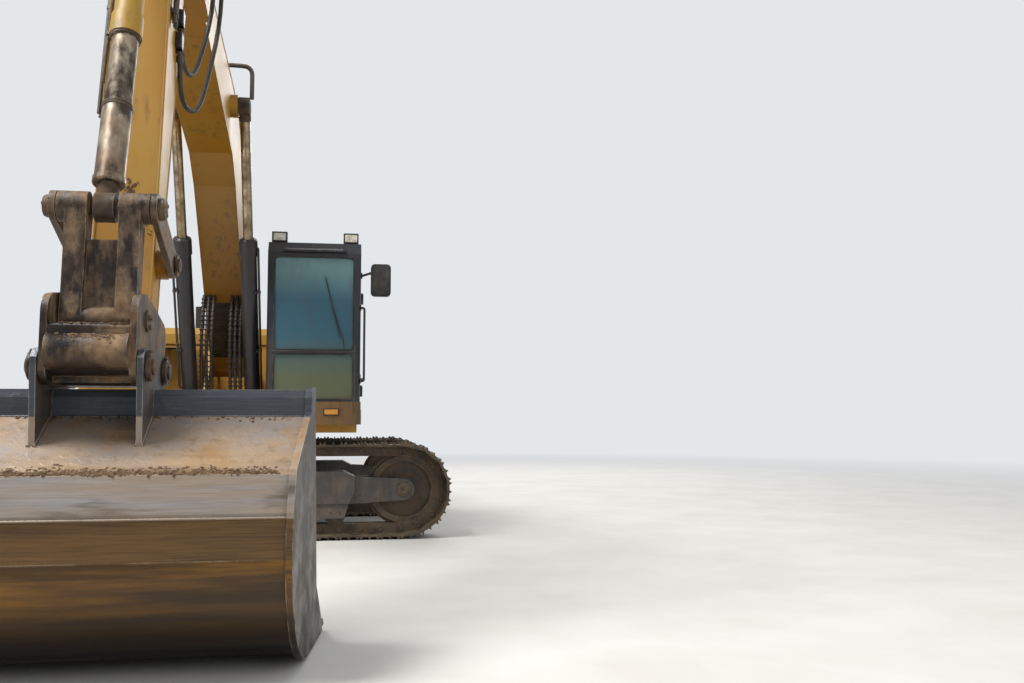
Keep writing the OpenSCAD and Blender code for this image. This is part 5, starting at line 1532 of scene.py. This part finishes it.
# Middle of each track, its axles' distance and height, the chain's radius round them and its shoes
TRACK_Y, TRACK_SPAN, TRACK_AXLE = 1.3, 4.030, 0.530
AXLE_Y = TRACK_SPAN / 2
CHAIN_RADIUS, SHOES = 0.480, 50
PITCH = (2 * TRACK_SPAN + 2 * math.pi * CHAIN_RADIUS) / SHOES


def track_spot(t, height):
    """Point on the track's loop and its outward direction, t pitches on from the lower run's rear end."""
    d, arc = t * PITCH % (PITCH * SHOES), math.pi * CHAIN_RADIUS
    if d < TRACK_SPAN:
        return (-AXLE_Y + d, TRACK_AXLE - CHAIN_RADIUS - height), (0, -1)
    if d < TRACK_SPAN + arc:
        angle = (d - TRACK_SPAN) / CHAIN_RADIUS - math.pi / 2
        centre = AXLE_Y
    elif d < 2 * TRACK_SPAN + arc:
        return (AXLE_Y - (d - TRACK_SPAN - arc), TRACK_AXLE + CHAIN_RADIUS + height), (0, 1)
    else:
        angle = (d - 2 * TRACK_SPAN - arc) / CHAIN_RADIUS + math.pi / 2
        centre = -AXLE_Y
    reach, out = CHAIN_RADIUS + height, (math.cos(angle), math.sin(angle))
    return (centre + reach * out[0], TRACK_AXLE + reach * out[1]), out


class EXCAVATOR_OT_tracks(bpy.types.Operator):
    """Shoe bolts, link pins, roller caps and hub bolts of the undercarriage"""

    bl_idname = "excavator.tracks"
    bl_label = "Tracks"

    def execute(self, context):
        shoe_places, pin_places = [], []
        for side in SIDES:
            for i in range(SHOES):
                for share in (0.30, 0.70):
                    (y, z), (ny, nz) = track_spot(i + share, 0.018)
                    for x in (-0.075, 0.075):
                        shoe_places.append(facing((side * TRACK_Y + x, y, z), (0, ny, nz)))
                (y, z), _ = track_spot(i + 0.03, -0.056)
                for face in SIDES:
                    pin_places.append(endways((side * TRACK_Y + face * 0.095, y, z), face))
        head = start("cylinder", "head", vertices=6, radius=0.016, depth=0.012, location=(0, 0, 0.006))
        pressed(head, looks_up, (0.004, (0, 0, 0.002)))
        put(copies("shoe_bolts", head, shoe_places), "track", "undercarriage")
        cap = [(0, 0.003), (0, 0.033), (0.006, 0.033), (0.010, 0.030)]
        cap += [(0.010, 0.021), (0.006, 0.019), (0.006, 0.003)]
        cap = turned("cap", cap, Matrix.Identity(4), 14)
        put(copies("link_pins", cap, pin_places), "track", "undercarriage")
        plug = [(0, 0.003), (0, 0.07), (0.012, 0.07), (0.016, 0.06)]
        plug += [(0.016, 0.03), (0.010, 0.026), (0.010, 0.003)]
        hubs, places = [], []
        for side in SIDES:
            # final drive's rim and cover, and the idler's cover: where, how far out, and the bolts' circle
            for y, out, radius, count, shift in (
                (-AXLE_Y, 0.072, 0.226, 16, 0.0),
                (-AXLE_Y, 0.150, 0.125, 8, 0.5),
                (AXLE_Y, 0.164, 0.044, 4, 0.5),
            ):
                hub = Vector((side * (TRACK_Y + out), y, TRACK_AXLE))
                for dy, dz in circle(radius, count, shift):
                    places.append((hub + Vector((0, dy, dz)), (side, 0, 0)))
            for y, out, steps in ((-AXLE_Y, 0.150, 28), (AXLE_Y, 0.164, 24)):
                place = endways((side * (TRACK_Y + out), y, TRACK_AXLE), side)
                hubs.append(turned("plug", plug, place, steps))
            # bolts along the frame's outer skirt, two over each roller
            for i in range(9):
                for dy in (-0.05, 0.05):
                    places.append(((side * 1.478, -1.265 + 0.31625 * i + dy, 0.30), (side, 0, 0)))
        put_all("hub_caps", hubs, "track", "undercarriage")
        bolts("frame_bolts", places, 0.013, "undercarriage", "track")
        return {"FINISHED"}


# Settings, finishes and stage


class WearSettings(bpy.types.PropertyGroup):
    """How much dried mud there is"""

    crumb_count: IntProperty(name="Mud crumbs", description="Dried mud on the bucket", default=1500, min=0)


class PaintSettings(bpy.types.PropertyGroup):
    """Colours of the two paints that a buyer chooses"""

    body: FloatVectorProperty(
        name="Body paint", description="Enamel of the boom, stick and house",
        default=srgb(FINISHES["yellow"][3]), size=4, min=0.0, max=1.0, subtype="COLOR",
    )
    cab: FloatVectorProperty(
        name="Cab paint", description="Enamel of the cab and its door",
        default=srgb(FINISHES["navy"][3]), size=4, min=0.0, max=1.0, subtype="COLOR",
    )


class StageSettings(bpy.types.PropertyGroup):
    """Where the camera stands and looks, and the size of the floor"""

    camera_place: FloatVectorProperty(
        name="Camera place", description="Where the camera stands",
        default=(12.886, 1.305, 1.352), subtype="XYZ",
    )
    heading: FloatProperty(
        name="Heading", description="Turn from straight back", default=-0.167, subtype="ANGLE",
    )
    tilt: FloatProperty(name="Tilt", description="Look upwards", default=0.072, subtype="ANGLE")
    lens_mm: FloatProperty(name="Lens", description="Focal length on a 36 mm frame", default=35.86, min=10)
    floor_radius: FloatProperty(name="Floor radius", description="Pale floor", default=160.0, unit="LENGTH")


class EXCAVATOR_OT_finishes(bpy.types.Operator):
    """Paint and material of every solid"""

    bl_idname = "excavator.finishes"
    bl_label = "Finishes"

    def execute(self, context):
        paint = context.scene.excavator_paint
        coats = {"yellow": paint.body, "navy": paint.cab}
        for finish, (_, mix, name, *values) in FINISHES.items():
            if finish in coats:
                values[0] = tuple(coats[finish])
            MATERIALS[finish] = mix(name, *values)
        for finish, names in NODE_FINISHES.items():
            for name in names.split():
                wear(frame["nodes"][name], finish)
        # cast rod eyes, which chrome doesn't reach
        for name, eye, neck in (
            ("boom_cylinder_rods", BOOM_ROD_EYE, 0.15),
            ("stick_cylinder_rod", STICK_ROD_EYE, 0.15),
            ("bucket_cylinder_rod", KNUCKLE, 0.16),
        ):
            refinish(name, "rusty", lambda point: math.hypot(point.x - eye.x, point.z - eye.z) < neck)
        # front of the coupler's cross plate, painted near-black as the shade under its tube
        front = LINK_PIN.x + 0.212
        refinish("quick_coupler", "painted_shade", lambda point: abs(point.x - front) < 0.03 and abs(point.y) < 0.206)
        return {"FINISHED"}


class EXCAVATOR_OT_stage(bpy.types.Operator):
    """Pale floor, soft lights and the camera"""

    bl_idname = "excavator.stage"
    bl_label = "Stage"

    def execute(self, context):
        settings = context.scene.excavator_stage
        lay_floor(settings)
        light_world()
        lamps()
        camera(settings)
        return {"FINISHED"}


BACKDROP = "#e4e7ea"


def lay_floor(settings):
    """Floor of painted concrete, which far off takes the backdrop's colour, so that no horizon shows."""
    deselect()
    bpy.ops.mesh.primitive_circle_add(vertices=96, radius=settings.floor_radius, fill_type="NGON")
    floor = bpy.context.active_object
    floor.name = "floor"
    paint, tree = surface("floor_paint")
    finished(paint, over("#dcd8d1", "#d2cdc4", patches(tree, 900, 0.3, 0.7)), 0.9)
    away = node(tree, "ShaderNodeVectorMath", {0: place_of(tree)}, "Value", operation="LENGTH")
    fade = spread(away, 8.0, 26.0, interpolation_type="SMOOTHSTEP")
    fade = times(fade, node(tree, "ShaderNodeLightPath", out="Is Camera Ray"))
    glow = node(tree, "ShaderNodeEmission", {"Color": srgb(BACKDROP), "Strength": 1.0})
    shader = tree.nodes["Principled BSDF"].outputs[0]
    mixed = node(tree, "ShaderNodeMixShader", {0: fade, 1: shader, 2: glow})
    tree.links.new(mixed, tree.nodes["Material Output"].inputs["Surface"])
    floor.data.materials.append(paint)


def light_world():
    """Soft sky light, behind it a pale backdrop that only the camera and glass see."""
    scene = bpy.context.scene
    scene.world = bpy.data.worlds.new("studio")
    scene.world.use_nodes = True
    tree = scene.world.node_tree
    ray = node(tree, "ShaderNodeLightPath", out="Is Camera Ray")
    seen = times(ray, ray.node.outputs["Is Transmission Ray"], "MAXIMUM")
    light = node(tree, "ShaderNodeBackground", {"Color": srgb("#dfe6ee"), "Strength": 0.55})
    backdrop = node(tree, "ShaderNodeBackground", {"Color": srgb(BACKDROP), "Strength": 1.0})
    mixed = node(tree, "ShaderNodeMixShader", {0: seen, 1: light, 2: backdrop})
    tree.links.new(mixed, tree.nodes["World Output"].inputs["Surface"])
    scene.view_settings.view_transform = "Standard"


def lamps():
    """High soft key from the machine's right, a weak fill from its left front, and one behind."""
    aim = Vector((2.5, 0, 1.5))
    for name, place, size, power in (
        ("key", (8, -7.2, 15.8), 6.5, 3500),
        ("fill", (14, 10, 6), 12, 500),
        ("back", (-14, 6, 12), 10, 1500),
    ):
        light = bpy.data.lights.new(name, "AREA")
        light.size = size
        light.energy = power
        lamp = bpy.data.objects.new(name, light)
        bpy.context.scene.collection.objects.link(lamp)
        lamp.location = place
        lamp.rotation_euler = (aim - Vector(place)).to_track_quat("-Z", "Y").to_euler()


def camera(settings):
    """Camera at the photograph's viewing angle."""
    turn, level = settings.heading, math.cos(settings.tilt)
    ahead = Vector((-math.cos(turn) * level, -math.sin(turn) * level, math.sin(settings.tilt)))
    lens_data = bpy.data.cameras.new("camera")
    lens_data.lens = settings.lens_mm
    lens_data.clip_end = 500
    made = bpy.data.objects.new("camera", lens_data)
    bpy.context.scene.collection.objects.link(made)
    made.location = settings.camera_place
    made.rotation_euler = ahead.to_track_quat("-Z", "Y").to_euler()
    bpy.context.scene.camera = made


class EXCAVATOR_PT_panel(bpy.types.Panel):
    """One button for each step"""

    bl_label = "Excavator"
    bl_idname = "EXCAVATOR_PT_panel"
    bl_space_type = "VIEW_3D"
    bl_region_type = "UI"
    bl_category = "Excavator"

    def draw(self, context):
        for step in OPERATORS:
            self.layout.operator(step.bl_idname)


OPERATORS = (
    EXCAVATOR_OT_finishes,
    EXCAVATOR_OT_stage,
    EXCAVATOR_OT_plumbing,
    EXCAVATOR_OT_cylinders,
    EXCAVATOR_OT_bucket,
    EXCAVATOR_OT_linkage,
    EXCAVATOR_OT_arm_edges,
    EXCAVATOR_OT_cab,
    EXCAVATOR_OT_seat,
    EXCAVATOR_OT_house,
    EXCAVATOR_OT_tracks,
)
CLASSES = (StageSettings, PaintSettings, WearSettings, *OPERATORS, EXCAVATOR_PT_panel)


def register():
    """Registers the classes and gives the scene its settings."""
    for item in CLASSES:
        bpy.utils.register_class(item)
    bpy.types.Scene.excavator_stage = PointerProperty(type=StageSettings)
    bpy.types.Scene.excavator_paint = PointerProperty(type=PaintSettings)
    bpy.types.Scene.excavator_wear = PointerProperty(type=WearSettings)


def unregister():
    """Undoes register."""
    del bpy.types.Scene.excavator_wear
    del bpy.types.Scene.excavator_paint
    del bpy.types.Scene.excavator_stage
    for item in reversed(CLASSES):
        bpy.utils.unregister_class(item)


def main():
    """Runs every step."""
    register()
    for step in OPERATORS:
        getattr(bpy.ops.excavator, step.bl_idname.partition(".")[2])()


if __name__ == "__main__":
    main()
